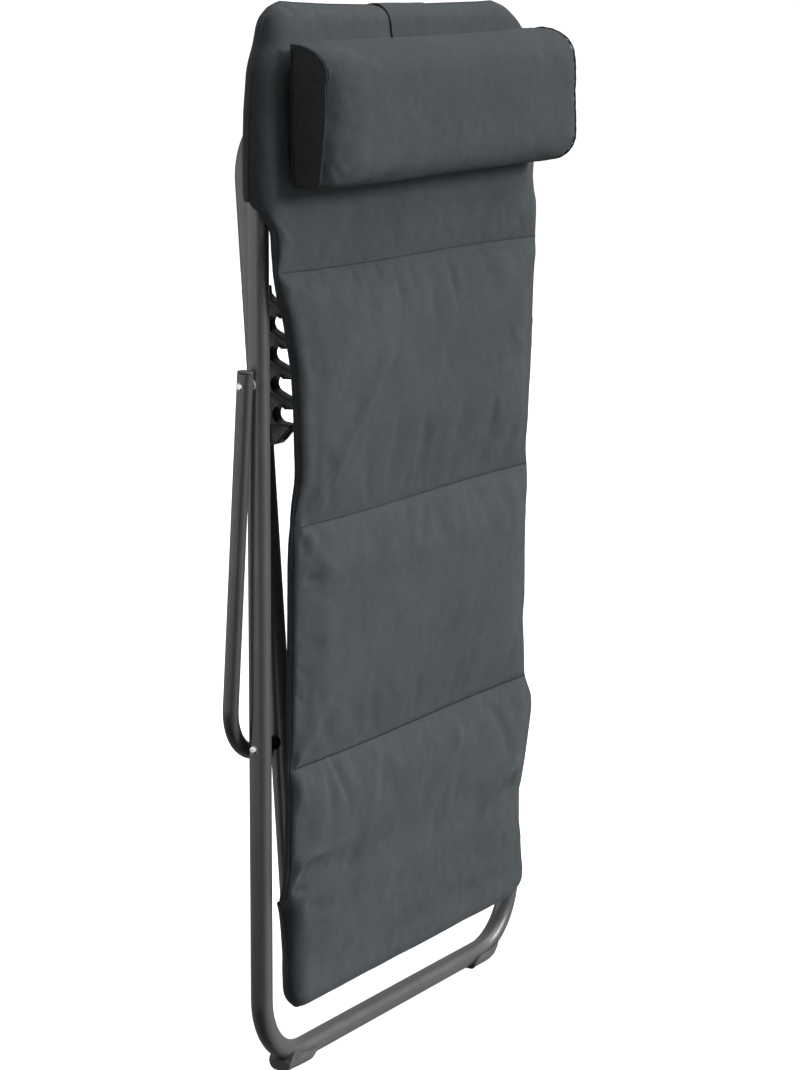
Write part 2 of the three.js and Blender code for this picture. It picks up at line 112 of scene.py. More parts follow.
# ------------------------------------------------------------------ materials
def new_mat(name, base, rough, metallic=0.0, spec=0.5, sheen=0.0, sheen_rough=0.4, coat=0.0):
    m = bpy.data.materials.new(name)
    m.use_nodes = True
    b = m.node_tree.nodes["Principled BSDF"]
    b.inputs["Base Color"].default_value = (*base, 1)
    b.inputs["Roughness"].default_value = rough
    b.inputs["Metallic"].default_value = metallic
    b.inputs["Specular IOR Level"].default_value = spec
    if sheen:
        b.inputs["Sheen Weight"].default_value = sheen
        b.inputs["Sheen Roughness"].default_value = sheen_rough
    if coat:
        b.inputs["Coat Weight"].default_value = coat
        b.inputs["Coat Roughness"].default_value = 0.25
    return m, m.node_tree.nodes, m.node_tree.links, b


def node(nodes, kind, **props):
    n = nodes.new(kind)
    for k, v in props.items():
        setattr(n, k, v)
    return n


def coords(nodes, links, scale=(1, 1, 1)):
    tc = node(nodes, "ShaderNodeTexCoord")
    mp = node(nodes, "ShaderNodeMapping")
    mp.inputs["Scale"].default_value = scale
    links.new(tc.outputs["Object"], mp.inputs["Vector"])
    return mp.outputs["Vector"]


def noise(nodes, links, vec, scale, detail=2.0, rough=0.5):
    n = node(nodes, "ShaderNodeTexNoise")
    n.inputs["Scale"].default_value = scale
    n.inputs["Detail"].default_value = detail
    n.inputs["Roughness"].default_value = rough
    links.new(vec, n.inputs["Vector"])
    return n.outputs["Fac"]


def ramp(nodes, links, fac, stops):
    r = node(nodes, "ShaderNodeValToRGB")
    e = r.color_ramp.elements
    while len(e) > 1:
        e.remove(e[-1])
    e[0].position, e[0].color = stops[0][0], (*stops[0][1], 1)
    for pos, col in stops[1:]:
        x = e.new(pos)
        x.color = (*col, 1)
    links.new(fac, r.inputs["Fac"])
    return r.outputs["Color"]


def mathn(nodes, links, op, a, b=None, clamp=False):
    n = node(nodes, "ShaderNodeMath", operation=op, use_clamp=clamp)
    for i, v in enumerate((a, b)):
        if v is None:
            continue
        if isinstance(v, (int, float)):
            n.inputs[i].default_value = v
        else:
            links.new(v, n.inputs[i])
    return n.outputs[0]


def mixc(nodes, links, fac, a, b, mode="MIX"):
    n = node(nodes, "ShaderNodeMix", data_type="RGBA", blend_type=mode)
    for key, v in ((0, fac), (6, a), (7, b)):
        if isinstance(v, (int, float)):
            n.inputs[key].default_value = v
        elif isinstance(v, tuple):
            n.inputs[key].default_value = (*v, 1)
        else:
            links.new(v, n.inputs[key])
    return n.outputs[2]


def bump(nodes, links, bsdf, height, strength, dist):
    n = node(nodes, "ShaderNodeBump")
    n.inputs["Strength"].default_value = strength
    n.inputs["Distance"].default_value = dist
    links.new(height, n.inputs["Height"])
    links.new(n.outputs["Normal"], bsdf.inputs["Normal"])
    return n


def fabric_mat(name, lo, hi, rough=0.86, weave=0.45):
    m, N, L, b = new_mat(name, hi, rough, spec=0.25, sheen=0.12, sheen_rough=0.5)
    v = coords(N, L)
    # broad shade drift and short slubs along the two yarn directions
    broad = noise(N, L, v, 9.0, 3.0, 0.55)
    vx = coords(N, L, (60, 60, 900))
    vz = coords(N, L, (900, 900, 60))
    slub = mathn(N, L, "MULTIPLY", mathn(N, L, "ADD", noise(N, L, vx, 1.0, 2.0), noise(N, L, vz, 1.0, 2.0)), 0.5)
    cloudy = noise(N, L, v, 95.0, 4.0, 0.62)
    tone = mathn(N, L, "ADD", mathn(N, L, "MULTIPLY", broad, 0.34), mathn(N, L, "MULTIPLY", slub, 0.36))
    tone = mathn(N, L, "ADD", tone, mathn(N, L, "MULTIPLY", cloudy, 0.30))
    col = ramp(N, L, tone, [(0.42, lo), (0.58, hi)])
    # plain weave: two crossed sets of yarns
    wx = node(N, "ShaderNodeTexWave", wave_type="BANDS", bands_direction="X", wave_profile="SIN")
    wz = node(N, "ShaderNodeTexWave", wave_type="BANDS", bands_direction="Z", wave_profile="SIN")
    for w in (wx, wz):
        w.inputs["Scale"].default_value = 400.0
        w.inputs["Distortion"].default_value = 0.6
        w.inputs["Detail"].default_value = 1.0
        L.new(v, w.inputs["Vector"])
    both = mathn(N, L, "MAXIMUM", wx.outputs["Fac"], wz.outputs["Fac"])
    col = mixc(N, L, 0.16, col, mixc(N, L, both, (lo[0] * 0.75, lo[1] * 0.75, lo[2] * 0.75), hi))
    L.new(col, b.inputs["Base Color"])
    fine = noise(N, L, v, 420.0, 2.0, 0.6)
    soft = noise(N, L, v, 42.0, 3.0, 0.5)
    h = mathn(N, L, "ADD", mathn(N, L, "MULTIPLY", both, 0.5), mathn(N, L, "MULTIPLY", fine, 0.5))
    h = mathn(N, L, "ADD", h, mathn(N, L, "MULTIPLY", soft, 1.6))
    bump(N, L, b, h, weave, 0.0015)
    return m


def coat_mat(name, base, rough, metallic):
    """satin powder coat: fine orange peel, slight shade drift"""
    m, N, L, b = new_mat(name, base, rough, metallic=metallic, spec=0.5)
    v = coords(N, L)
    drift = noise(N, L, v, 14.0, 3.0)
    col = ramp(N, L, drift, [(0.3, tuple(c * 0.93 for c in base)), (0.7, tuple(c * 1.07 for c in base))])
    L.new(col, b.inputs["Base Color"])
    r = ramp(N, L, noise(N, L, v, 60.0, 3.0), [(0.3, (rough - 0.04,) * 3), (0.7, (rough + 0.05,) * 3)])
    L.new(r, b.inputs["Roughness"])
    bump(N, L, b, noise(N, L, v, 1100.0, 2.0), 0.12, 0.0004)
    return m


def plastic_mat(name, base, rough):
    m, N, L, b = new_mat(name, base, rough, spec=0.45)
    v = coords(N, L)
    col = ramp(N, L, noise(N, L, v, 60.0, 4.0, 0.6), [(0.3, tuple(c * 0.8 for c in base)), (0.75, tuple(min(c * 1.35, 1) for c in base))])
    L.new(col, b.inputs["Base Color"])
    L.new(ramp(N, L, noise(N, L, v, 150.0, 2.0), [(0.3, (rough - 0.08,) * 3), (0.7, (rough + 0.08,) * 3)]), b.inputs["Roughness"])
    bump(N, L, b, noise(N, L, v, 900.0, 3.0, 0.7), 0.25, 0.0005)
    return m


def zinc_mat(name):
    m, N, L, b = new_mat(name, (0.88, 0.89, 0.9), 0.28, metallic=1.0)
    v = coords(N, L)
    L.new(ramp(N, L, noise(N, L, v, 500.0, 3.0), [(0.3, (0.7, 0.71, 0.72)), (0.7, (0.93, 0.94, 0.95))]), b.inputs["Base Color"])
    L.new(ramp(N, L, noise(N, L, v, 300.0, 3.0), [(0.3, (0.2, 0.2, 0.2)), (0.7, (0.42, 0.42, 0.42))]), b.inputs["Roughness"])
    bump(N, L, b, noise(N, L, v, 700.0, 3.0), 0.1, 0.0003)
    return m


FAB_LO, FAB_HI = (0.076, 0.089, 0.097), (0.103, 0.119, 0.128)
M_FAB = fabric_mat("mat_cloth", FAB_LO, FAB_HI)
M_PIL = fabric_mat("pillow_cloth", tuple(0.93 * c for c in FAB_LO), tuple(0.93 * c for c in FAB_HI))
# near-black cloth for the seam lines: painted shade of the seam grooves
M_SEAM_SHADE = fabric_mat("seam_thread", (0.012, 0.016, 0.02), (0.03, 0.036, 0.042), rough=0.8, weave=0.3)
# darker cloth for the piping cords: the piping is real, its darker tone is painted shade of the seam recess beside it
M_PIPING_SHADE = fabric_mat("binding_cloth", (0.05, 0.058, 0.064), (0.075, 0.085, 0.093), rough=0.82, weave=0.4)
M_STRAP = fabric_mat("band_cloth", (0.085, 0.095, 0.104), (0.112, 0.124, 0.134), rough=0.82, weave=0.6)
M_TUBE = coat_mat("tube_coat", (0.182, 0.185, 0.191), 0.35, 0.32)
M_PROP = coat_mat("prop_coat", (0.146, 0.149, 0.156), 0.36, 0.35)
M_BLACK = plastic_mat("rack_plastic", (0.018, 0.017, 0.017), 0.42)
M_FOOT = plastic_mat("foot_plastic", (0.15, 0.152, 0.157), 0.5)
M_PLUG = plastic_mat("plug_plastic", (0.13, 0.132, 0.135), 0.5)
M_NYLON = plastic_mat("spacer_nylon", (0.42, 0.4, 0.36), 0.45)
M_ZINC = zinc_mat("zinc")


# ------------------------------------------------------------------ mesh helpers
def make(name, verts, faces, material, sharp=38.0, smooth=True):
    me = bpy.data.meshes.new(name)
    me.from_pydata([tuple(v) for v in row(verts)], [], [tuple(f) for f in faces])
    bm = bmesh.new()
    bm.from_mesh(me)
    bmesh.ops.recalc_face_normals(bm, faces=bm.faces)
    bm.to_mesh(me)
    bm.free()
    me.materials.append(material)
    if smooth:
        me.shade_smooth()
        me.set_sharp_from_angle(angle=rad(sharp))
    o = bpy.data.objects.new(name, me)
    bpy.context.scene.collection.objects.link(o)
    return o


def bow(half, bend, end_z, bar_z, n=22):
    s = 1.0 if bar_z > end_z else -1.0
    cz = bar_z - s * bend
    pts = [(-half, 0, end_z)]
    for i in range(n + 1):
        a = i / n * math.pi / 2
        pts.append((-half + bend - bend * math.cos(a), 0, cz + s * bend * math.sin(a)))
    for i in range(n + 1):
        a = i / n * math.pi / 2
        pts.append((half - bend + bend * math.sin(a), 0, cz + s * bend * math.cos(a)))
    pts.append((half, 0, end_z))
    return np.array(pts)


def sweep(path, radius, sides=40, flat=None, closed=False, caps=True):
    """round (or flattened) section along a path; radius may be a list"""
    path = np.array(path, float)
    n = len(path)
    if closed:
        t = np.roll(path, -1, 0) - np.roll(path, 1, 0)
    else:
        t = np.gradient(path, axis=0)
        d = np.diff(path, axis=0)
        d /= np.maximum(np.linalg.norm(d, axis=1, keepdims=True), 1e-9)
        t[0], t[-1] = d[0], d[-1]
        t[1:-1] = d[:-1] + d[1:]
    t /= np.maximum(np.linalg.norm(t, axis=1, keepdims=True), 1e-9)
    up = np.array([0, 1, 0.0]) if abs(t[0][1]) < 0.9 else np.array([1, 0, 0.0])
    nrm = np.cross(up, t[0])
    nrm /= np.linalg.norm(nrm)
    frames = []
    for i in range(n):
        nrm = nrm - t[i] * (nrm @ t[i])
        nrm /= np.linalg.norm(nrm)
        frames.append((nrm.copy(), np.cross(t[i], nrm)))
    r = np.full(n, radius, float) if np.isscalar(radius) else np.array(radius, float)
    verts, faces = [], []
    for i in range(n):
        a, b = frames[i]
        for k in range(sides):
            w = 2 * math.pi * k / sides
            verts.append(path[i] + r[i] * (math.cos(w) * a + math.sin(w) * b * (flat or 1.0)))
    rings = n if closed else n - 1
    for i in range(rings):
        j = (i + 1) % n
        for k in range(sides):
            l = (k + 1) % sides
            faces.append((i * sides + k, i * sides + l, j * sides + l, j * sides + k))
    if not closed and caps:
        faces.append(tuple(reversed(range(sides))))
        faces.append(tuple((n - 1) * sides + k for k in range(sides)))
    return np.array(verts), faces


def lathe(profile, sides=36):
    """profile [(axial, radius)] closed onto the axis at both ends, about +X from the origin"""
    verts, faces, rings = [], [], []
    for x, r in profile:
        if r < 1e-6:
            rings.append([len(verts)])
            verts.append((x, 0, 0))
        else:
            rings.append(list(range(len(verts), len(verts) + sides)))
            for k in range(sides):
                w = 2 * math.pi * k / sides
                verts.append((x, r * math.cos(w), r * math.sin(w)))
    for a, b in zip(rings[:-1], rings[1:]):
        for k in range(sides):
            l = (k + 1) % sides
            q = [a[k % len(a)], a[l % len(a)], b[l % len(b)], b[k % len(b)]]
            q = [x for i, x in enumerate(q) if x not in q[:i]]
            if len(q) > 2:
                faces.append(tuple(q))
    return np.array(verts, float), faces


def ring_lathe(x0, x1, r0, r1, sides=36, ch=0.4):
    """a plain ring with small chamfers, about X"""
    prof = [(x0, r0), (x0, r1 - ch), (x0 + ch, r1), (x1 - ch, r1), (x1, r1 - ch), (x1, r0)]
    verts, faces = [], []
    for x, r in prof:
        for k in range(sides):
            w = 2 * math.pi * k / sides
            verts.append((x, r * math.cos(w), r * math.sin(w)))
    n = len(prof)
    for i in range(n):
        j = (i + 1) % n
        for k in range(sides):
            l = (k + 1) % sides
            faces.append((i * sides + k, i * sides + l, j * sides + l, j * sides + k))
    return np.array(verts), faces


def apply_mods(o):
    dg = bpy.context.evaluated_depsgraph_get()
    ev = o.evaluated_get(dg)
    me = bpy.data.meshes.new_from_object(ev, depsgraph=dg)
    me.name = o.data.name + "_f"
    old = o.data
    o.modifiers.clear()
    o.data = me
    bpy.data.meshes.remove(old)
    return o


def smoothstep(a, b, x):
    t = np.clip((np.asarray(x, float) - a) / (b - a), 0, 1)
    return t * t * (3 - 2 * t)


def lerp_keys(keys, z):
    k = np.array(keys, float)
    return np.interp(z, k[:, 0], k[:, 1])


def smooth_keys(keys, z, width=9.0):
    """keys joined smoothly: the linear curve averaged over a short span"""
    z = np.asarray(z, float)
    offs = np.linspace(-width, width, 7)
    return sum(lerp_keys(keys, z + o) for o in offs) / len(offs)


def value_noise(x, z, scale, seed):
    """smooth seeded 2D noise in -1..1, cell size = scale mm"""
    g = np.random.default_rng(seed).uniform(-1, 1, (64, 64))
    fx, fz = np.asarray(x) / scale, np.asarray(z) / scale
    ix, iz = np.floor(fx).astype(int), np.floor(fz).astype(int)
    tx, tz = fx - ix, fz - iz
    tx, tz = tx * tx * (3 - 2 * tx), tz * tz * (3 - 2 * tz)
    a = g[ix % 64, iz % 64]
    b = g[(ix + 1) % 64, iz % 64]
    c = g[ix % 64, (iz + 1) % 64]
    d = g[(ix + 1) % 64, (iz + 1) % 64]
    return (a * (1 - tx) + b * tx) * (1 - tz) + (c * (1 - tx) + d * tx) * tz


def simulate(o, pin, pressure, shrink, cap_mm, frames=20, stiff=12.0, bend=0.6):
    """inflates a closed mesh with Cloth, pinned by weight, each point's move capped; returns the start positions and
    the moves
    """
    n = len(o.data.vertices)
    base = np.zeros(n * 3)
    o.data.vertices.foreach_get("co", base)
    base = base.reshape(-1, 3)
    vg = o.vertex_groups.new(name="pin")
    for w in sorted(set(np.round(pin, 2))):
        idx = np.nonzero(np.round(pin, 2) == w)[0].tolist()
        if w > 0:
            vg.add(idx, float(w), "REPLACE")
    md = o.modifiers.new("cloth", "CLOTH")
    s = md.settings
    s.quality = 5
    s.mass = 0.25
    s.tension_stiffness = stiff
    s.compression_stiffness = stiff
    s.shear_stiffness = stiff * 0.4
    s.bending_stiffness = bend
    s.air_damping = 1.5
    s.use_pressure = True
    s.uniform_pressure_force = pressure
    s.shrink_min = shrink
    s.vertex_group_mass = "pin"
    s.pin_stiffness = 3.0
    s.effector_weights.gravity = 0
    md.collision_settings.use_collision = False
    md.point_cache.frame_start = 1
    md.point_cache.frame_end = frames
    sc = bpy.context.scene
    sc.frame_start, sc.frame_end = 1, frames
    for f in range(1, frames + 1):
        sc.frame_set(f)
    dg = bpy.context.evaluated_depsgraph_get()
    ev = o.evaluated_get(dg).to_mesh()
    out = np.zeros(n * 3)
    ev.vertices.foreach_get("co", out)
    out = out.reshape(-1, 3)
    o.evaluated_get(dg).to_mesh_clear()
    o.modifiers.remove(md)
    o.vertex_groups.clear()
    sc.frame_set(1)
    move = np.nan_to_num(out - base)
    length = np.linalg.norm(move, axis=1, keepdims=True)
    cap = cap_mm * 0.001
    move *= np.minimum(1, cap / np.maximum(length, 1e-9))
    return base, move * (1 - np.clip(pin, 0, 1))[:, None]


def set_co(o, co):
    o.data.vertices.foreach_set("co", co.astype(np.float32).ravel())
    o.data.update()


def subdivide(o, level=1):
    m = o.modifiers.new("sub", "SUBSURF")
    m.levels = m.render_levels = level
    m.subdivision_type = "CATMULL_CLARK"
    return apply_mods(o)


def slots_and_ride(o, body, slot, *nodes):
    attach(o, body)
    if nodes:
        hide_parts(*nodes)
    return o


# ------------------------------------------------------------------ tubes
v, f = sweep(bow(BACK_HALF, BACK_BEND, BACK_SPLICE - 0.15, BACK_BOTTOM), TUBE_R)
slots_and_ride(make("back_tube_lower", v, f, M_TUBE), "back_frame", "frame_tube", "back_frame_main_bow")
v, f = sweep(bow(BACK_HALF, BACK_BEND, BACK_SPLICE + 0.15, BACK_TOP), TUBE_R)
slots_and_ride(make("back_tube_upper", v, f, M_TUBE), "back_frame", "frame_tube", "back_frame_top_bow")
v, f = sweep(bow(SEAT_HALF, SEAT_BEND, -SEAT_SPLICE + 0.15, SEAT_REAR), TUBE_R)
slots_and_ride(make("seat_tube_rear", seat_to_chair(v), f, M_TUBE), "seat_frame", "frame_tube", "seat_frame_rear_bow")
v, f = sweep(bow(SEAT_HALF, SEAT_FRONT_BEND, -SEAT_SPLICE - 0.15, -SEAT_FRONT), TUBE_R)
slots_and_ride(make("seat_tube_front", seat_to_chair(v), f, M_TUBE), "seat_frame", "frame_tube", "seat_frame_front_bow")
v, f = sweep(bow(PROP_HALF, PROP_BEND, PROP_ABOVE, -PROP_LEN), PROP_R, sides=32)
slots_and_ride(make("prop_tube", prop_to_chair(v), f, M_PROP), "prop_frame", "prop_tube", "prop_bow")

# plugs in the prop's ends: a rim and a slightly dished cap
for tag, e in (("left", -1), ("right", 1)):
    v, f = lathe([(-8, 0), (-8, 6.2), (-7, 6.8), (0.2, 6.8), (0.3, 8.7), (0.8, 9.0), (1.6, 8.9), (2.3, 8.3), (2.5, 7.6), (2.2, 6.9), (1.9, 6.2), (1.8, 0)])
    v = v[:, [1, 2, 0]]
    v += np.array([e * PROP_HALF, 0, PROP_ABOVE])
    slots_and_ride(make(f"prop_plug_{tag}", prop_to_chair(v), f, M_PLUG, sharp=50), "prop_frame", "black_plastic", f"prop_end_plug_{tag}")


# ------------------------------------------------------------------ rivets and spacers
def rivet_profile(x_in, x_out, head_in, head_out):
    """long rivet: a flat head inside, a domed head with a set-in centre outside"""
    return [
        (x_in - 2.6, 0), (x_in - 2.55, 1.8), (x_in - 2.2, 3.2), (x_in - 1.3, head_in - 0.4), (x_in - 0.4, head_in), (x_in - 0.3, 3.0),
        (x_out + 0.3, 3.0), (x_out + 0.3, head_out), (x_out + 0.6, head_out + 0.15), (x_out + 1.1, head_out - 0.15), (x_out + 1.9, head_out - 1.1),
        (x_out + 2.5, head_out - 2.2), (x_out + 2.75, 1.9), (x_out + 2.7, 1.5), (x_out + 2.0, 1.3), (x_out + 1.9, 0),
    ]


for tag, e in (("left", -1), ("right", 1)):
    v, f = lathe(rivet_profile(SEAT_HALF - TUBE_R, BACK_HALF + TUBE_R, 4.8, 5.4))
    v = v * [e, 1, 1] + [0, 0, PIVOT_Z]
    slots_and_ride(make(f"seat_rivet_{tag}", v, f, M_ZINC, sharp=45), "back_frame", "rivet", f"seat_pivot_rivet_{tag}")
    v, f = lathe(rivet_profile(BACK_HALF - TUBE_R, PROP_HALF + PROP_R, 4.6, 4.8))
    v = v * [e, 1, 1] + [0, 0, PROP_Z]
    v[:, 0] = np.sign(v[:, 0]) * np.minimum(np.abs(v[:, 0]), 317.0)
    slots_and_ride(make(f"prop_rivet_{tag}", v, f, M_ZINC, sharp=45), "back_frame", "rivet", f"prop_pivot_rivet_{tag}")
    v, f = ring_lathe(SEAT_HALF + TUBE_R + 0.2, BACK_HALF - TUBE_R - 0.2, 3.2, 8.0)
    v = v * [e, 1, 1] + [0, 0, PIVOT_Z]
    slots_and_ride(make(f"seat_spacer_{tag}", v, f, M_BLACK), "back_frame", "black_plastic", f"seat_pivot_spacer_{tag}")
    v, f = ring_lathe(BACK_HALF + TUBE_R + 0.1, PROP_HALF - PROP_R - 0.1, 3.2, 6.2)
    v = v * [e, 1, 1] + [0, 0, PROP_Z]
    slots_and_ride(make(f"prop_washer_{tag}", v, f, M_NYLON), "back_frame", "nylon", f"prop_spacer_{tag}")


# ------------------------------------------------------------------ foot pads: a clip that hugs the lower half of the tube, with a flat sole
def foot_pad(half, bend, bar_z, x0):
    """the clip starts at x0 with a slanted end and runs 58 mm towards +X"""
    cx, cz = half - bend, bar_z + bend
    xs = x0 + np.concatenate([[0, 0.5, 1.6, 4, 7.5, 11, 14.5, 17, 18.5], np.linspace(21, 46, 9), [48.5, 51, 53, 55, 56.6, 57.6, 58]])
    n_out, n_in = 30, 24
    verts = []
    for x in xs:
        dx = max(abs(x) - cx, 0.0)
        tz = cz - math.sqrt(bend * bend - dx * dx) if dx > 0 else bar_z
        slope = dx / bend
        cosa = math.sqrt(max(1 - slope * slope, 0.2))
        low = bar_z - TUBE_R - 3.0
        lift = (5.5 if x0 > 0 else 1.5) * smoothstep(cx + 8, cx + 52, abs(x)) * (1.6 if x0 > 0 else 1.0)
        # the wall climbs along the slanted end to the tube's middle
        ramp_in = smoothstep(x0 - 6, x0 + 14, x)
        top = (low + lift + 6.5) * (1 - ramp_in) + (tz + 0.6) * ramp_in
        tail = np.clip((x - x0 - 48) / 10.0, 0, 1)
        sole = low + lift + 7.0 * tail ** 2
        end = min(smoothstep(x0 - 0.6, x0 + 1.4, x), 1 - smoothstep(x0 + 56.8, x0 + 58.4, x))
        wid = 15.1 - 0.9 * (1 - end)
        sole += 0.8 * (1 - end)
        top = max(top - 0.6 * (1 - end), sole + 3.0)
        # outer contour: left wall top, round bottom corners, flat sole, right wall top
        r = min(10.4, (top - sole) * 0.9)
        pts = []
        segs = n_out // 2
        for k in range(segs + 1):
            t = k / segs
            if t < 0.4:
                q = t / 0.4
                pts.append((-wid, top + (sole + r - top) * q))
            elif t < 0.8:
                a = (t - 0.4) / 0.4 * math.pi / 2
                pts.append((-wid + r - r * math.cos(a), sole + r - r * math.sin(a)))
            else:
                q = (t - 0.8) / 0.2
                pts.append(((-wid + r) * (1 - q), sole))
        outer = pts + [(-y, z) for y, z in reversed(pts[:-1])]
        # inner contour along the tube, right to left
        ri = TUBE_R + 0.35
        a_top = math.asin(np.clip((top - tz) * cosa / ri, -0.98, 0.98))
        inner = []
        for k in range(n_in + 1):
            a = a_top + (-math.pi - 2 * a_top) * k / n_in
            inner.append((ri * math.cos(a), tz + ri * math.sin(a) / cosa))
        for y, z in outer + inner:
            verts.append((x, y, z))
    m = len(outer) + len(inner)
    faces = []
    for i in range(len(xs) - 1):
        for k in range(m):
            l = (k + 1) % m
            faces.append((i * m + k, i * m + l, (i + 1) * m + l, (i + 1) * m + k))
    # ends: strips between the outer and inner contours
    no, ni = len(outer), len(inner)
    for base in (0, (len(xs) - 1) * m):
        oi = list(range(base, base + no))
        ii = list(range(base + no, base + no + ni))[::-1]
        a = b = 0
        while a < no - 1 or b < ni - 1:
            if b >= ni - 1 or (a < no - 1 and (a + 1) / (no - 1) <= (b + 1) / (ni - 1)):
                faces.append((oi[a], oi[a + 1], ii[b]))
                a += 1
            else:
                faces.append((oi[a], ii[b + 1], ii[b]))
                b += 1
    return np.array(verts), faces


for tag, e in (("left", -1), ("right", 1)):
    v, f = foot_pad(BACK_HALF, BACK_BEND, BACK_BOTTOM, -245.5 if e < 0 else 172.0)
    slots_and_ride(make(f"foot_clip_{tag}", v, f, M_FOOT, sharp=42), "back_frame", "foot_plastic", f"foot_pad_{tag}")
    v, f = foot_pad(SEAT_HALF, SEAT_BEND, -SEAT_REAR, -212.0 if e < 0 else 154.0)
    v[:, 2] *= -1
    slots_and_ride(make(f"rear_foot_clip_{tag}", seat_to_chair(v), f, M_FOOT, sharp=42), "seat_frame", "foot_plastic", f"rear_foot_pad_{tag}")


# ------------------------------------------------------------------ racks: rimmed hook plates with a saddle for the tube
SLOPE = math.tan(rad(26.5))
SEAT_V, SEAT_R, TIP, NOSE = 30.8, 9.35, 51.0, 43.5


def rack_outline(back):
    """(v forward, u up) of the hooked plate, plus the point where each tooth's sloping top starts"""
    pts = [(back, 511), (18.4, 511), (19.3, 510.6), (19.6, 509.6), (19.6, 503.2), (20.4, 501.4), (26.3, 495.5)]
    prev = (26.3, 495.5)
    starts = [prev]
    for i, c in enumerate(NOTCH):
        tip_top = prev[1] - (TIP - 2 - prev[0]) * SLOPE
        under = c + 5.9
        pts += [(TIP - 3.2, tip_top + 0.5), (TIP - 1.0, tip_top - 1.1), (TIP, tip_top - 3.0), (TIP - 0.5, under + 1.6), (TIP - 1.3, under + 0.4), (TIP - 2.6, under)]
        a0, a1 = math.asin(5.9 / SEAT_R), rad(243.5 if i < 3 else 260.4)
        for k in range(15):
            a = a0 + (a1 - a0) * k / 14
            pts.append((SEAT_V + SEAT_R * math.cos(a), c + SEAT_R * math.sin(a)))
        prev = pts[-1]
        starts.append(prev)
    pts += [(NOSE - 2.0, prev[1] - (NOSE - 2.0 - prev[0]) * 0.17), (NOSE - 0.3, prev[1] - 3.2), (NOSE - 0.1, prev[1] - 5.0), (28.0, 340.3), (22.4, 336.4), (18.0, 335.5), (back, 335.5)]
    return pts, starts


def prism(bm, pts, x0, x1):
    """a solid between x0 and x1 over the outline (v, u)"""
    a = [bm.verts.new((x0, -v_, u_)) for v_, u_ in pts]
    c = [bm.verts.new((x1, -v_, u_)) for v_, u_ in pts]
    n = len(pts)
    bm.faces.new(a)
    bm.faces.new(list(reversed(c)))
    for k in range(n):
        l = (k + 1) % n
        bm.faces.new((a[l], a[k], c[k], c[l]))


def bm_object(bm, name, e):
    for vv in bm.verts:
        vv.co = Vector(row(seat_to_chair((vv.co.x + e * SEAT_HALF, vv.co.y, vv.co.z))))
    bmesh.ops.recalc_face_normals(bm, faces=bm.faces)
    me = bpy.data.meshes.new(name)
    bm.to_mesh(me)
    bm.free()
    me.materials.append(M_BLACK)
    o = bpy.data.objects.new(name, me)
    bpy.context.scene.collection.objects.link(o)
    return o


def cut(o, cutter):
    md = o.modifiers.new("cut", "BOOLEAN")
    md.operation = "DIFFERENCE"
    md.solver = "EXACT"
    md.object = cutter
    bpy.context.view_layer.update()
    apply_mods(o)
    bpy.data.objects.remove(cutter)


def rack(e, name):
    outline, starts = rack_outline(5.0)
    bm = bmesh.new()
    prism(bm, outline, -8.5, 8.5)
    o = bm_object(bm, name, e)
    cv, cf = sweep([(e * SEAT_HALF, 0, 325), (e * SEAT_HALF, 0, 420), (e * SEAT_HALF, 0, 520)], TUBE_R + 0.3, sides=48)
    cut(o, make("cutter", seat_to_chair(cv), cf, M_BLACK))
    # sunk cheeks inside each tooth's rim, on both sides
    bm = bmesh.new()
    for i, c in enumerate(NOTCH):
        p = starts[i]
        k = 1.9 / math.cos(rad(26.5))
        top = lambda v_: p[1] - (v_ - p[0]) * SLOPE - k
        pts = [(15.5, top(26.3) + 1.0 if i else 496.0), (23.5, top(25.5)), (TIP - 2.4, top(TIP - 2.4)), (TIP - 2.9, c + 7.9), (39.0, c + 7.9)]
        for q in (48, 66, 84, 102, 120, 138, 156):
            pts.append((SEAT_V + 11.3 * math.cos(rad(q)), c + 11.3 * math.sin(rad(q))))
        pts.append((15.5, c + 3.5))
        for x0, x1 in ((-12, -5.9), (5.9, 12)):
            prism(bm, pts, x0, x1)
    p = starts[-1]
    pts = [(15.5, p[1] - 1.4), (28, p[1] - 2.0), (NOSE - 3.4, p[1] - 4.6), (NOSE - 3.6, p[1] - 6.0), (27.0, 343.2), (22.0, 339.0), (15.5, 338.2)]
    for x0, x1 in ((-12, -5.9), (5.9, 12)):
        prism(bm, pts, x0, x1)
    cut(o, bm_object(bm, "cutter", e))
    # the groove between the cheeks along the end piece's lower edge, and shallow ones in the teeth's tips
    bm = bmesh.new()
    d = np.array([28.0 - (NOSE - 0.1), 340.3 - (p[1] - 5.0)])
    d /= np.linalg.norm(d)
    nrm = np.array([-d[1], d[0]])
    a0, a1 = np.array([NOSE - 0.1, p[1] - 5.0]) + d * 2.0, np.array([28.0, 340.3]) - d * 1.0
    prism(bm, [tuple(a0 + nrm * 4), tuple(a1 + nrm * 4), tuple(a1 - nrm * 5), tuple(a0 - nrm * 5)], -3.4, 3.4)
    for i, c in enumerate(NOTCH):
        t0 = starts[i][1] - (TIP - 2 - starts[i][0]) * SLOPE
        prism(bm, [(TIP + 3, t0 - 4.5), (TIP + 3, c + 8.0), (TIP - 3.0, c + 8.0), (TIP - 3.0, t0 - 4.5)], -3.6, 3.6)
    cut(o, bm_object(bm, "cutter", e))
    bv = o.modifiers.new("edge", "BEVEL")
    bv.width = 0.0004
    bv.segments = 2
    bv.limit_method = "ANGLE"
    bv.angle_limit = rad(35)
    bpy.context.view_layer.update()
    apply_mods(o)
    o.data.shade_smooth()
    o.data.set_sharp_from_angle(angle=rad(35))
    return o


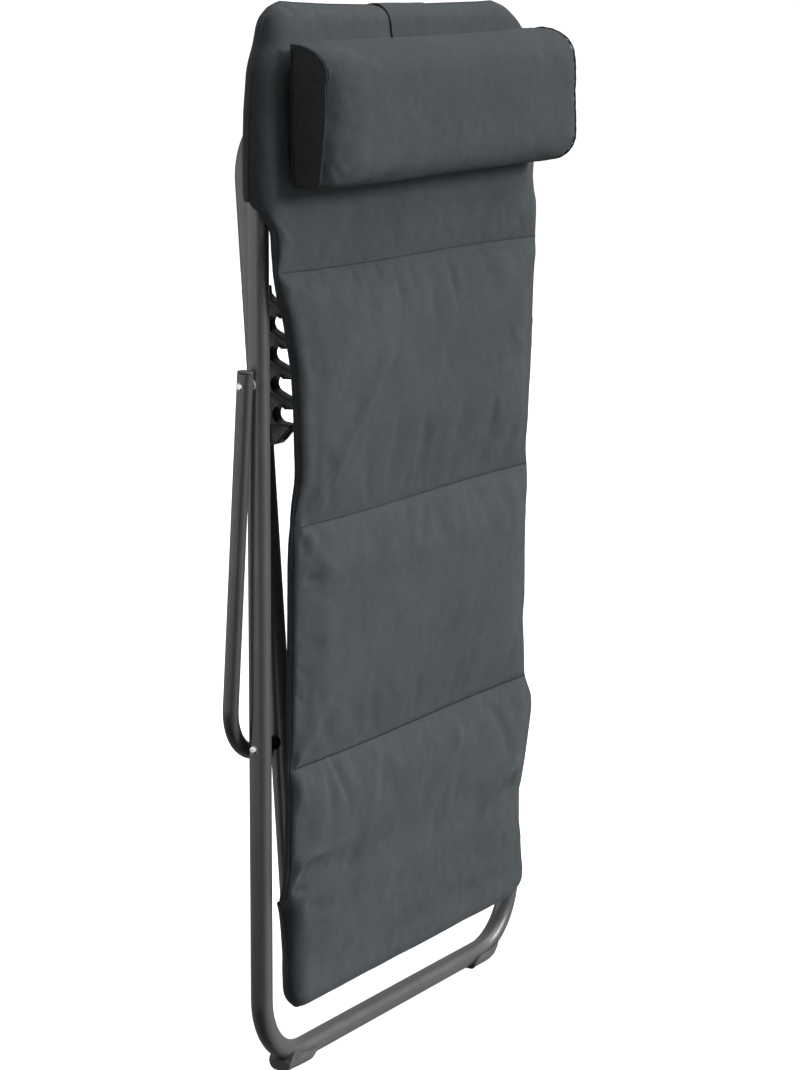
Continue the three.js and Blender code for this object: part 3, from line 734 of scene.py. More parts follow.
for tag, e in (("left", -1), ("right", 1)):
    slots_and_ride(rack(e, f"hook_rack_{tag}"), "seat_frame", "black_plastic", f"rack_{tag}")
    for which, u, vv in (("upper", 505.0, 19.0), ("lower", 347.0, 24.0)):
        prof = [(-13.4, 0), (-13.4, 3.2), (-13.0, 3.9), (-12.7, 2.0), (17.6, 2.0), (17.6, 4.0), (18.2, 4.1), (19.2, 3.4), (20.0, 2.2), (20.2, 1.3), (19.6, 1.1), (19.5, 0)]
        v, f = lathe(prof)
        v = np.stack([v[:, 1], -v[:, 0], v[:, 2]], 1) + np.array([e * SEAT_HALF, 0, u])
        slots_and_ride(make(f"rack_pin_{which}_{tag}", seat_to_chair(v), f, M_ZINC, sharp=45), "seat_frame", "rivet", f"rack_rivet_{which}_{tag}")

# ------------------------------------------------------------------ mat
MID = [(79, -27), (84, -30), (205, -33), (300, -31), (351, -30), (421, -29), (560, -28), (641, -29.5), (700, -33), (752, -34.5), (800, -32), (870, -27.5), (921, -25), (1011, -22), (1206, -20)]
# half widths, left and right: the long edges wander in and out with the seams and the pull on the cloth
HL = [(79, 238), (80.2, 243), (82.5, 247), (86, 251), (90, 254), (95, 256), (102, 257), (126, 256), (140, 254), (169, 254.2), (190, 255.5), (203, 259), (210, 268), (218, 271.5), (224, 272.1), (238, 270.7), (252, 267.1), (266, 266.8),
      (280, 266.5), (294, 266.1), (308, 265.7), (322, 265), (336, 264), (352, 264.8), (366, 264.7), (380, 264.1), (395, 262.5), (420, 262.8), (445, 262.4), (470, 261.8), (495, 261.6), (520, 261.4), (545, 261), (570, 261.2),
      (595, 262.2), (620, 261.8), (628, 261.2), (640, 259.2), (652, 259.5), (668, 258.7), (690, 255), (710, 255.6), (730, 257), (750, 257.9), (770, 257.3), (790, 257.8), (810, 258), (830, 261.1), (850, 264.9), (870, 268.1),
      (890, 276.1), (912, 279.8), (921, 281), (932, 281.3), (945, 282.3), (958, 282.2), (970, 281.5), (985, 289), (998, 297), (1014, 297.7), (1052, 297.3), (1094, 295.3), (1136, 289.6), (1147, 286), (1158, 280.5), (1165, 277),
      (1174, 274), (1181, 272), (1187.5, 269), (1194, 263.5), (1202, 251.5), (1206, 238)]
HR = [(79, 215.0), (80.2, 226.0), (82.5, 237.0), (86, 248.0), (90, 255.0), (95, 260.0), (102, 263.5), (124, 263.7), (165, 262.0), (200, 256.1), (210, 251.3), (224, 252.8), (238, 256.2), (252, 261.3), (266, 265.0), (280, 268.1), (294, 271.4), (308, 274.2), (322, 277.3), (336, 277.2), (352, 270.6), (366, 267.2), (380, 262.8), (395, 259.8), (420, 256.1), (445, 252.7), (470, 255.4), (495, 255.8), (520, 255.9), (545, 255.4), (570, 255.2), (595, 254.3), (620, 256.3), (628, 257.8), (640, 260.5), (652, 254.6), (668, 248.5), (690, 246.3), (710, 246.2), (730, 247.0), (750, 247.9), (770, 250.7), (790, 254.0), (810, 256.6), (830, 259.8), (850, 262.9), (870, 266.2), (890, 269.5), (912, 279.5), (921, 284.2), (932, 281.0), (945, 277.5), (958, 278.0), (970, 284.6), (985, 290.4), (998, 293.2), (1011, 294.8), (1108, 294.8), (1130, 292.0), (1150, 283.0), (1173, 268.0), (1181, 259.0), (1189, 251.0), (1196, 238.0), (1203, 222.0), (1206, 210.0)]
Y0 = [(79, -24.5), (205, -24.5), (250, -24), (417, -24), (560, -24.5), (640, -27), (700, -31), (752, -31.5), (790, -29.5), (850, -26), (912, -21.5), (960, -19), (1010, -15)]
WS = [(205, 5), (340, 5), (366, 3), (392, 5), (610, 5), (640, 3), (668, 5), (890, 5), (905, 4.5), (921, 3.5), (935, 6.5), (948, 8.5), (960, 8), (972, 5)]
AF = [(205, 4.5), (342, 4.9), (352, 4.7), (366, 2.4), (378, 3.2), (410, 4.6), (470, 5), (618, 5), (624, 4.8), (640, 2.5), (654, 3.6), (690, 7), (760, 8), (895, 8), (905, 7.6), (921, 3), (932, 3.6), (950, 5.5), (1010, 7)]
RF = [(205, 6), (366, 5), (392, 6), (640, 6), (668, 9), (895, 9), (921, 7), (1010, 9)]
SW = [(205, 5), (340, 6.4), (350, 6.0), (366, 1.5), (380, 2.4), (420, 5), (480, 7.6), (560, 8.4), (612, 9.2), (624, 8.4), (640, 1.2), (660, 2.2), (720, 3.6), (800, 4.4), (890, 5.6), (906, 5.0), (921, 0.8), (935, 0), (950, -2.2), (966, -1), (990, 0)]
SL = [(205, 15), (366, 15), (392, 24), (610, 24), (640, 20), (668, 25)]
TOP_SAG = [(-245, 1.5), (-233, 1.7), (-216, 0.3), (-146, -1.9), (-73, -2.8), (61, -2.2), (122, -1.3), (184, -0.4), (215, 1.0), (227, 1.4), (245, 0.5)]
MAT_BOT, MAT_TOP = 79.0, 1206.0


def half(side, z):
    return lerp_keys(HL if side < 0 else HR, z)


def grid_rows():
    z = [MAT_BOT, 80.2, 82.5, 86, 90.5, 96]
    while z[-1] < 1180:
        step = 7.0
        for s in (SEAM1, SEAM2, SEAM3):
            if abs(z[-1] - s) < 16:
                step = 3.0
        if 60 < z[-1] < 1:
            step = 3.0
        z.append(z[-1] + step)
    z = [q for q in z if q < 1184] + [1188, 1193, 1197.5, 1201, 1203.8, 1205.4, MAT_TOP]
    return np.array(z)


# edge columns: the flat side strip, its stitch groove, then the rounding of the padded face
STRIP_S = [0, -0.2, 0.1, 2.2]
STRIP_Y = [0, 0.5, 0.9, 1.0]
FACE_U = [0.12, 0.5, 1.2, 2.4, 4.2, 6.8, 10.5, 15, 20.5]
POCKET_S = [0, 0.25, 0.6, 1.1, 1.7, 2.4, 3.3, 4.5, 6.2, 8.4, 11, 14.3, 18.5]
BACK_S = [0, 0.3, 0.8, 1.5, 2.3, 3.3, 4.5, 6, 8, 10.4, 13.4, 17, 21.5]
EDGE_N = len(STRIP_S) + len(FACE_U)
N_IN = 60


def outline(z0, z1):
    zz = np.unique(np.concatenate([np.linspace(z0, z1, 300), [k[0] for k in HL + HR if z0 <= k[0] <= z1]]))
    return np.concatenate([np.stack([half(1, zz), zz], 1), np.stack([-half(-1, zz), zz], 1)[::-1], [[half(1, zz[0]), zz[0]]]])


def outline_distance(x, z, z0, z1):
    pts = outline(z0, z1)
    a, b = pts[:-1], pts[1:]
    ab = b - a
    q = np.stack([np.ravel(x), np.ravel(z)], 1)
    best = np.full(len(q), 1e9)
    for i in range(len(a)):
        l2 = ab[i] @ ab[i]
        if l2 < 1e-12:
            continue
        t = np.clip(((q - a[i]) @ ab[i]) / l2, 0, 1)
        best = np.minimum(best, np.linalg.norm(q - a[i] - t[:, None] * ab[i], axis=1))
    return best.reshape(np.shape(x))


def row_x(z, edge_l, edge_r):
    """x positions across one row, from the left edge to the right edge"""
    wl, wr = float(half(-1, z)), float(half(1, z))
    inner = np.linspace(-wl + edge_l[-1], wr - edge_r[-1], N_IN + 2)[1:-1]
    return np.concatenate([-wl + np.array(edge_l), inner, wr - np.array(edge_r)[::-1]])


def quarter(t):
    return np.sqrt(np.clip(1 - (1 - np.clip(t, 0, 1)) ** 2, 0, 1))


# folds on the cloth: centre line, width, height (+ ridge, - valley), mm
FOLDS = [
    ([(-247, 653), (-221, 679), (-189, 712), (-163, 742), (-128, 780), (-95, 817), (-74, 846)], 5.0, 1.5),
    ([(-222, 654), (-199, 683), (-181, 711)], 3.0, 0.9),
    ([(-143, 912), (-145, 892)], 3.5, -0.8),
    ([(-95, 917), (-93, 899)], 3.5, -1.0),
    ([(-55, 892), (-53, 872)], 4, -0.9),
    ([(-31, 914), (-18, 886)], 3.5, -1.0),
    ([(57, 912), (62, 883), (69, 847)], 4.5, -1.2),
    ([(34, 782), (38, 811)], 6, -0.6),
    ([(146, 739), (147, 672)], 4, -0.6),
    ([(247, 892), (241, 858)], 3, 0.9),
    ([(185, 820), (225, 783)], 4, 0.5),
    ([(-261, 642), (-247, 636), (-230, 617)], 5, 1.8),
    ([(-254, 629), (-244, 600)], 4, -0.45),
    ([(-248, 581), (-220, 579)], 3, -1.2),
    ([(-226, 602), (-194, 576)], 5, 0.7),
    ([(-258, 481), (-240, 468)], 2.2, -0.6),
    ([(-260, 450), (-238, 433)], 2.2, -0.6),
    ([(-269, 363), (-249, 385), (-228, 412), (-204, 437)], 6.5, 2.6),
    ([(107, 508), (79, 483), (52, 456)], 7, 0.9),
    ([(139, 462), (116, 416)], 6, 0.5),
    ([(236, 428), (201, 405), (174, 394)], 4, 1.0),
    ([(-204, 358), (-200, 328), (-198, 290)], 4.5, -1.4),
    ([(-188, 364), (-178, 337), (-161, 297)], 4, -1.3),
    ([(-188, 351), (-180, 317)], 2.5, 0.7),
    ([(-106, 340), (-112, 300), (-120, 262), (-126, 228), (-146, 186)], 6.5, 0.75),
    ([(88, 341), (61, 309), (24, 286), (-3, 256)], 5.5, 2.0),
    ([(59, 276), (38, 256), (22, 205)], 5.5, -1.1),
    ([(243, 257), (205, 253), (167, 241), (127, 205)], 5, 2.3),
    ([(178, 340), (190, 308), (205, 270)], 7, -1.0),
    ([(226, 240), (196, 224)], 7, -0.8),
    ([(228, 218), (201, 202)], 3.5, 1.0),
    ([(-271, 236), (-261, 252), (-247, 262), (-207, 259)], 3.5, 2.4),
    ([(-257, 237), (-243, 250), (-211, 252)], 3.5, -1.8),
    ([(-235, 236), (-194, 256), (-152, 274)], 6, 1.3),
    ([(-163, 226), (-148, 250)], 6, -1.0),
    ([(-267, 226), (-243, 223)], 2.5, -1.6),
    ([(-241, 202), (-211, 198)], 4, -0.7),
    ([(-255, 359), (-251, 315)], 7, 1.2),
    ([(-77, 317), (-62, 276)], 7, -0.6),
    ([(194, 170), (231, 190)], 5, 0.8),
    ([(-99, 358), (-101, 331)], 4, 0.5),
    ([(-290, 981), (-277, 964), (-260, 947)], 3.2, 0.9),
    ([(-281, 909), (-262, 901), (-238, 893)], 3.5, 0.9),
    ([(-266, 903), (-250, 893), (-232, 884)], 3.0, -0.6),
    ([(-130, 980), (-134, 940)], 6, -0.4),
    ([(-40, 972), (-30, 940)], 6, 0.4),
    ([(-251, 1208), (-239.5, 1198.8), (-233.9, 1192)], 2.6, -0.9),
    ([(-298, 1152.5), (-289, 1149), (-279, 1146.5)], 2.6, -1.0),
    ([(207, 1207), (221, 1203)], 2.8, -0.9),
    ([(-262, 1198), (-247, 1176), (-240, 1150)], 7, 0.5),
    ([(-200, 1199), (-196, 1180)], 5, -0.35),
    ([(-120, 1198), (-128, 1180)], 6, -0.3),
    ([(120, 1199), (112, 1184)], 6, -0.35),
    ([(243, 1190), (256, 1168), (268, 1150)], 5, 0.5),
    ([(275, 990), (262, 962), (255, 935)], 5, 0.7),
    ([(-262, 820), (-246, 800), (-222, 775)], 6, 0.5),
    ([(-240, 560), (-215, 530), (-205, 490)], 8, 0.5),
    ([(228, 596), (214, 570), (210, 535)], 7, 0.5),
    ([(200, 604), (190, 575)], 5, -0.4),
    ([(-60, 604), (-66, 580)], 6, -0.35),
    ([(30, 604), (24, 578)], 6, -0.35),
    ([(110, 605), (104, 582)], 5, -0.35),
    ([(200, 905), (196, 878), (198, 850)], 5, -0.6),
    ([(140, 905), (138, 882)], 5, -0.5),
    ([(0, 590), (-6, 555), (4, 520)], 10, 0.35),
    ([(-80, 760), (-70, 720), (-76, 680)], 11, -0.3),
    ([(40, 740), (34, 700), (44, 660)], 11, 0.35),
    ([(-40, 150), (-10, 140), (30, 152)], 10, 0.4),
    ([(-160, 150), (-130, 128), (-100, 122)], 9, 0.4),
    ([(120, 140), (150, 120), (190, 118)], 9, 0.4),
]


def fold_height(x, z, folds):
    h = np.zeros(np.shape(x))
    for line, w, amp in folds:
        p = np.array(line, float)
        for _ in range(3 if len(p) > 2 else 0):
            p = np.concatenate([p[:1], np.stack([0.75 * p[:-1] + 0.25 * p[1:], 0.25 * p[:-1] + 0.75 * p[1:]], 1).reshape(-1, 2)[1:-1], p[-1:]])
        seg = np.linalg.norm(np.diff(p, axis=0), axis=1)
        total = seg.sum()
        best, along = np.full(np.shape(x), 1e9), np.zeros(np.shape(x))
        start = 0.0
        for i in range(len(seg)):
            d = p[i + 1] - p[i]
            t = ((x - p[i, 0]) * d[0] + (z - p[i, 1]) * d[1]) / seg[i] ** 2
            lo_, hi_ = (-2.0 if i == 0 else 0.0), (3.0 if i == len(seg) - 1 else 1.0)
            tc_ = np.clip(t, lo_, hi_)
            dist = np.hypot(x - p[i, 0] - d[0] * tc_, z - p[i, 1] - d[1] * tc_)
            nearer = dist < best
            best = np.where(nearer, dist, best)
            along = np.where(nearer, (start + tc_ * seg[i]) / total, along)
            start += seg[i]
        fade = smoothstep(-0.12, 0.22, along) * (1 - smoothstep(0.62, 1.12, along))
        ww = FOLD_WIDE * w * (0.8 + 0.4 * np.clip(along, 0, 1))
        h += amp * fade * np.exp(-(best / ww) ** 2)
    return h


FOLD_GAIN, FOLD_WIDE = 2.25, 1.75


def tucks(x, z):
    """short gathers that run down from each seam, fading away from it"""
    h = np.zeros(np.shape(x))
    for s, amp, down, up, seed in ((SEAM1, 0.55, 26.0, 9.0, 41), (SEAM2, 0.4, 20.0, 9.0, 42), (SEAM3, 0.85, 34.0, 10.0, 43)):
        dz = s - z
        g = np.where(dz > 0, smoothstep(0, 7, dz) * np.exp(-np.clip(dz, 0, None) / down), 0.5 * smoothstep(0, 5, -dz) * np.exp(-np.clip(-dz, 0, None) / up))
        h += amp * g * value_noise(x + 900 + 0.12 * dz, np.full(np.shape(x), 5.0) + z * 0.12, 15.0, seed)
    return h


def seam_pinch(z, x):
    """1 away from the seams, towards 0 on them"""
    q = np.ones(np.shape(z))
    for s, up, dn, deep in ((SEAM1, 9, 10, 0.95), (SEAM2, 9, 10, 0.95), (SEAM3, 9, 10, 0.95)):
        line = s + 1.5 * np.sin(np.asarray(x) / 90.0)
        dz = z - line
        sig = np.where(dz > 0, up, dn)
        q = q * (1 - deep * np.exp(-np.abs(dz / sig) ** 1.5))
    return q


def build_mat():
    zs = grid_rows()
    nr = len(zs)
    nc = 2 * EDGE_N + N_IN
    upk = smoothstep(962, 1000, zs)
    lok = 1 - smoothstep(200, 232, zs)
    pk1 = np.maximum(upk, lok)
    XF, XB = np.zeros((nr, nc)), np.zeros((nr, nc))
    for i, z in enumerate(zs):
        k = pk1[i]
        shrink = min(1.0, 1.0)
        pad = np.array(STRIP_S + [1.1 + u for u in FACE_U])
        ef = pad * (1 - k) + np.array(POCKET_S) * k
        eb = np.array(BACK_S) * (1 - k) + np.array(POCKET_S) * k
        XF[i] = row_x(z, ef * shrink, ef * shrink)
        XB[i] = row_x(z, eb * shrink, eb * shrink)
    Z = np.repeat(zs[:, None], nc, 1)
    pk = np.repeat(pk1[:, None], nc, 1)
    col = np.arange(nc)
    near = np.minimum(col, nc - 1 - col)
    sF = np.minimum(XF + half(-1, zs)[:, None], half(1, zs)[:, None] - XF)
    sB = np.minimum(XB + half(-1, zs)[:, None], half(1, zs)[:, None] - XB)
    y0, w, a, r, sw, sl = (smooth_keys(K, Z, 3.0) for K in (Y0, WS, AF, RF, SW, SL))
    u = np.clip(sF - 1.1, 0, None)
    face = y0 - w - a * quarter(u / r) - sw * (1 - np.exp(-u / sl))
    pad_f = face.copy()
    for k, fy in enumerate(STRIP_Y):
        pad_f = np.where(near == k, y0 - w * fy, pad_f)
    pad_b = y0 + 2.0 * quarter(sB / 3.0) + 3.5 * smoothstep(8, 62, sB) * seam_pinch(Z, XB)
    DF = outline_distance(XF, Z, zs[0], zs[-1])
    DB = outline_distance(XB, Z, zs[0], zs[-1])
    for D_ in (DF, DB):
        D_[:, 0] = D_[:, -1] = 0
        D_[0, :] = D_[-1, :] = 0
    ye = np.where(Z > 600, 0.0, seat_y(Z))
    full = smooth_keys(MID, Z) - 2.7 - 5.2 * smoothstep(12, 70, DF)
    flat = np.where(Z > 600, full, np.minimum(full, seat_y(Z) - 17.5))
    R = np.where(Z > 600, 19.0, 19.5)
    poc_f = ye - (ye - flat) * quarter(DF / R)
    inner = np.where(Z > 600, -14.2, seat_y(Z) - 14.2)
    poc_b = ye - (ye - inner) * quarter((DB - 1.6) / (R - 1.6))
    yf = pad_f * (1 - pk) + poc_f * pk
    yb = pad_b * (1 - pk) + poc_b * pk
    yb = np.where((near > 0) & (near < nc), np.maximum(yb, yf + 1.2 * (near > 3)), yb)
    yb[:, 0], yb[:, -1] = yf[:, 0], yf[:, -1]
    ZW = Z + lerp_keys(TOP_SAG, XF) * smoothstep(1150, 1204, Z)
    idx_f = np.arange(nr * nc).reshape(nr, nc)
    front = np.stack([XF, yf, ZW], 2).reshape(-1, 3)
    back = np.stack([XB, yb, ZW], 2)
    inner_mask = np.zeros((nr, nc), bool)
    inner_mask[1:-1, 1:-1] = True
    idx_b = idx_f.copy()
    idx_b[inner_mask] = nr * nc + np.arange(inner_mask.sum())
    verts = np.concatenate([front, back[inner_mask]])
    faces = []
    for i in range(nr - 1):
        for j in range(nc - 1):
            faces.append((idx_f[i, j], idx_f[i, j + 1], idx_f[i + 1, j + 1], idx_f[i + 1, j]))
            faces.append((idx_b[i, j], idx_b[i + 1, j], idx_b[i + 1, j + 1], idx_b[i, j + 1]))
    o = make("padded_mat", verts, faces, M_FAB, sharp=180)
    # pins: edges, seams, the stretch round the tubes, the back
    pin_grid = 1 - smoothstep(12, 34, sF)
    for s in (SEAM1, SEAM2, SEAM3):
        pin_grid = np.maximum(pin_grid, 1 - smoothstep(3, 12, np.abs(Z - s)))
    pin_grid = np.maximum(pin_grid, np.maximum(pk, smoothstep(262, 200, Z)) * 0.85)
    pin = np.concatenate([pin_grid.ravel(), np.maximum(pin_grid[inner_mask], 0.6)])
    is_front = np.arange(len(verts)) < nr * nc
    edge = np.concatenate([sF.ravel(), sB[inner_mask]])
    return o, pin, verts[:, 0], verts[:, 2], is_front, edge


mat_o, pin, mx, mz, mfront, medge = build_mat()
base, move = simulate(mat_o, pin, pressure=1.0, shrink=-0.006, cap_mm=4.0, frames=18)
set_co(mat_o, base + move)
keep = mat_o.data.attributes.new("front", "FLOAT", "POINT")
keep.data.foreach_set("value", (mfront & (medge > 0.5)).astype(np.float32) * smoothstep(1.5, 9, medge).astype(np.float32))
subdivide(mat_o)
nv = len(mat_o.data.vertices)
co = np.zeros(nv * 3)
mat_o.data.vertices.foreach_get("co", co)
co = co.reshape(-1, 3)
wt = np.zeros(nv)
mat_o.data.attributes["front"].data.foreach_get("value", wt)
mat_o.data.attributes.remove(mat_o.data.attributes["front"])
fx, fz = co[:, 0] * 1000, (co[:, 2] - SOLE) * 1000
small = 0.7 * value_noise(fx + 900, fz * 0.8, 46.0, 11) + 0.52 * value_noise(fx + 900, fz * 0.8, 21.0, 12) + 0.24 * value_noise(fx + 900, fz * 0.6, 9.0, 13)
calm = 0.35 + 0.65 * seam_pinch(fz, fx)
from_edge = np.minimum(fx + half(-1, fz), half(1, fz) - fx)
pocket = smoothstep(985, 1010, fz) + smoothstep(215, 195, fz)
gather = (0.34 + 0.5 * pocket) * value_noise(fz + 0.35 * from_edge, from_edge * 0.25 + 40 * (fx > 0), 10.0, 51) * np.exp(-np.clip(from_edge, 0, None) / (10.0 + 7.0 * pocket))
gather += 0.35 * pocket * value_noise(fz, from_edge, 26.0, 52) * np.exp(-np.clip(from_edge, 0, None) / 40.0)
valley = sum(deep * np.exp(-((fz - line - 1.5 * np.sin(fx / 90.0)) / wide) ** 2) for line, deep, wide in ((SEAM1, 1.1, 3.0), (SEAM2, 1.2, 2.8), (SEAM3, 1.1 + 0.5 * smoothstep(-150, 200, fx), 2.8 + 1.2 * smoothstep(-150, 200, fx))))
co[:, 1] += 0.001 * wt * valley
co[:, 1] -= 0.001 * wt * (FOLD_GAIN * fold_height(fx, fz, FOLDS) + small * calm + gather + tucks(fx, fz))
set_co(mat_o, co)
mat_o.data.shade_smooth()
tuple(row((0, -29, 421)))
tuple(row((0, -30, 351)))
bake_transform(mat_o)
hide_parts("mat_head_panel", "mat_back_panel", "mat_seat_panel", "mat_fold_strip", "mat_front_panel")


def pocket_back(name, z0, z1, body, upper):
    """the pocket's rear sheet, from the side seam round the back of the tube"""
    if upper:
        zs = np.concatenate([np.linspace(z0, 1180, 28), [1186, 1191, 1196, 1200, 1203.5, 1205.4, MAT_TOP]])
    else:
        zs = np.concatenate([[MAT_BOT, 80.2, 82.5, 86, 90.5, 96], np.linspace(102, z1, 16)])
    X = np.stack([row_x(z, POCKET_S, POCKET_S) for z in zs])
    Z = np.repeat(zs[:, None], X.shape[1], 1)
    D = outline_distance(X, Z, MAT_BOT if not upper else 700, MAT_TOP if upper else 600)
    D[:, 0] = D[:, -1] = 0
    if upper:
        D[-1, :] = 0
        ye = 0.0 * Z
        sag = 6.5 * smoothstep(20, 150, D) * (1 - smoothstep(1020, 1180, Z))
        flat = 14.6 - sag
    else:
        D[0, :] = 0
        ye = seat_y(Z)
        sag = 5.0 * smoothstep(20, 150, D) * smoothstep(110, 205, Z)
        flat = seat_y(Z) + 14.6 - sag
    Y = ye + (flat - ye) * quarter(D / 17.0)
    Y = Y + 0.5 * value_noise(X + 700, Z, 30.0, 21 if upper else 22) * smoothstep(14, 40, D)
    Z2 = Z + lerp_keys(TOP_SAG, X) * smoothstep(1150, 1204, Z)
    if upper:
        # the mouth's hem rises from the side seam to the back
        Z2 = Z2 + 15.0 * smoothstep(0, 19, D) * (1 - smoothstep(z0, 1075, Z)) - 1.5 * np.sin(X / 60.0) * smoothstep(0, 60, D) * (Z <= z0 + 0.1)
    verts = np.stack([X, Y, Z2], 2).reshape(-1, 3)
    nr, nc = X.shape
    faces = [(i * nc + j, i * nc + j + 1, (i + 1) * nc + j + 1, (i + 1) * nc + j) for i in range(nr - 1) for j in range(nc - 1)]
    o = make(name, verts, faces, M_FAB, sharp=180)
    # normals point to the rear, so the thickness goes inwards
    flip = sum(1 if p.normal.y < 0 else -1 for p in o.data.polygons) > 0
    if flip:
        o.data.flip_normals()
    s = o.modifiers.new("thick", "SOLIDIFY")
    s.thickness = 0.0014
    s.offset = -1
    apply_mods(o)
    o.data.shade_smooth()
    o.data.set_sharp_from_angle(angle=rad(60))
    return slots_and_ride(o, body, "mat_fabric")


upper_back = pocket_back("upper_pocket_back", 997.0, MAT_TOP, "back_frame", True)
lower_back = pocket_back("lower_pocket_back", MAT_BOT, 202.0, "seat_frame", False)

# ------------------------------------------------------------------ seams and piping on the mat, in darker cloth as painted shade of the seam grooves
def mat_front_y(x, z):
    """y of the mat's front surface at rest, by ray"""
    p = row((x, -200, z))
    ok, loc, nrm, _ = mat_o.ray_cast(Vector(p), Vector((0, 1, 0)))
    return (loc.y - OY) * 1000 if ok else float(smooth_keys(MID, z))


# a thin near-black cord along a seam: the stitched seam, coloured as painted shade of its groove
def seam_shade_cord(name, zline, body, r=0.62, n=110, lift=0.15):
    xs = np.linspace(-float(half(-1, zline)) + 7, float(half(1, zline)) - 7, n)
    pts = [(x, mat_front_y(x, zline + 1.5 * math.sin(x / 90.0)) - lift, zline + 1.5 * math.sin(x / 90.0)) for x in xs]
    v, f = sweep(pts, r, sides=8)
    return slots_and_ride(make(name, v, f, M_SEAM_SHADE), body, "mat_fabric")


seam_shade_cord("seam_upper", SEAM1, "back_frame", r=0.5)
seam_shade_cord("seam_middle", SEAM2, "back_frame", r=0.55)
s3 = seam_shade_cord("seam_lower", SEAM3, "back_frame", r=0.9)
s3.parent = None
del s3["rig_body"]
tuple(row((0, -29, 421)))
tuple(row((0, -30, 351)))
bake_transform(s3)

# fine piping along the pockets' side seams, in darker cloth as painted shade of the seam recess
side_z = np.concatenate([np.linspace(1000, 1104, 12), np.linspace(1108, MAT_TOP, 34)])
left = [(-float(half(-1, z)) - 0.1, -1.0, float(z + lerp_keys(TOP_SAG, -half(-1, z)) * smoothstep(1150, 1204, z))) for z in side_z]
right = [(float(half(1, z)) + 0.1, -1.0, float(z + lerp_keys(TOP_SAG, half(1, z)) * smoothstep(1150, 1204, z))) for z in side_z]
top = [(x, -1.0, MAT_TOP + 0.1 + float(lerp_keys(TOP_SAG, x))) for x in np.linspace(-236, 208, 44)[1:-1]]
v, f = sweep(left + top + right[::-1], 0.9, sides=10)
slots_and_ride(make("upper_pocket_piping", v, f, M_PIPING_SHADE), "back_frame", "mat_fabric")
low_z = np.concatenate([np.linspace(203, 106, 12), [101, 98, 95, 92, 90, 88, 86, 84, 82.5, 81.2, 80.2, MAT_BOT]])
bottom = [(x, seat_y(MAT_BOT), MAT_BOT - 0.1) for x in np.linspace(-236, 213, 44)[1:-1]]
v, f = sweep([(-float(half(-1, z)) - 0.1, seat_y(z), float(z)) for z in low_z] + bottom + [(float(half(1, z)) + 0.1, seat_y(z), float(z)) for z in low_z[::-1]], 0.9, sides=10)
slots_and_ride(make("lower_pocket_piping", v, f, M_PIPING_SHADE), "seat_frame", "mat_fabric")


# ------------------------------------------------------------------ pillow
def resample(loop, n):
    p = np.array(loop + [loop[0]], float)
    d = np.concatenate([[0], np.cumsum(np.linalg.norm(np.diff(p, axis=0), axis=1))])
    t = np.linspace(0, d[-1], n, endpoint=False)
    return np.stack([np.interp(t, d, p[:, k]) for k in range(2)], 1)


CAP = [(-33, 1166.3), (-42.8, 1165.6), (-51.8, 1163.4), (-60, 1159.6), (-67.5, 1154.2), (-73.5, 1147.5), (-77.6, 1139), (-77.4, 1131), (-75.0, 1122), (-74.6, 1091), (-74.0, 1076), (-72.4, 1058), (-70.2, 1040), (-68.8, 1027),
       (-67.8, 1021), (-65.4, 1017.6), (-52, 1016.4), (-33, 1016.6), (-32.8, 1050), (-32.8, 1090), (-32.8, 1130)]
MIDS = [(-29, 1158), (-31.5, 1165), (-37.5, 1169.3), (-46, 1171), (-58, 1170), (-69.5, 1166), (-80, 1158.5), (-87.5, 1148), (-91.5, 1134), (-93, 1115), (-93, 1090), (-92.4, 1062), (-91.6, 1042), (-89.5, 1031), (-84.5, 1021),
        (-76, 1013.8), (-65, 1010), (-50, 1008.6), (-38, 1011), (-31, 1016.5), (-27.4, 1026), (-26.4, 1045), (-26.2, 1070), (-26.2, 1095), (-26.3, 1120), (-27, 1143)]
CAP_R = [(-33, 1167.5), (-42, 1169), (-55.9, 1167), (-67, 1163), (-78.1, 1155.8), (-83.7, 1148.1), (-86, 1142), (-88, 1130.9), (-88.6, 1109.5), (-87.6, 1095.1), (-88.2, 1080.8), (-89.3, 1052.1), (-89, 1038.5), (-86.6, 1031.5),
         (-80.7, 1023), (-75.3, 1018.6), (-66.3, 1013.8), (-43, 1009.6), (-33, 1013), (-32.8, 1050), (-32.8, 1090), (-32.8, 1130)]
P_LEFT, P_RIGHT, P_ROLL = -260.5, 264.0, rad(1.1)


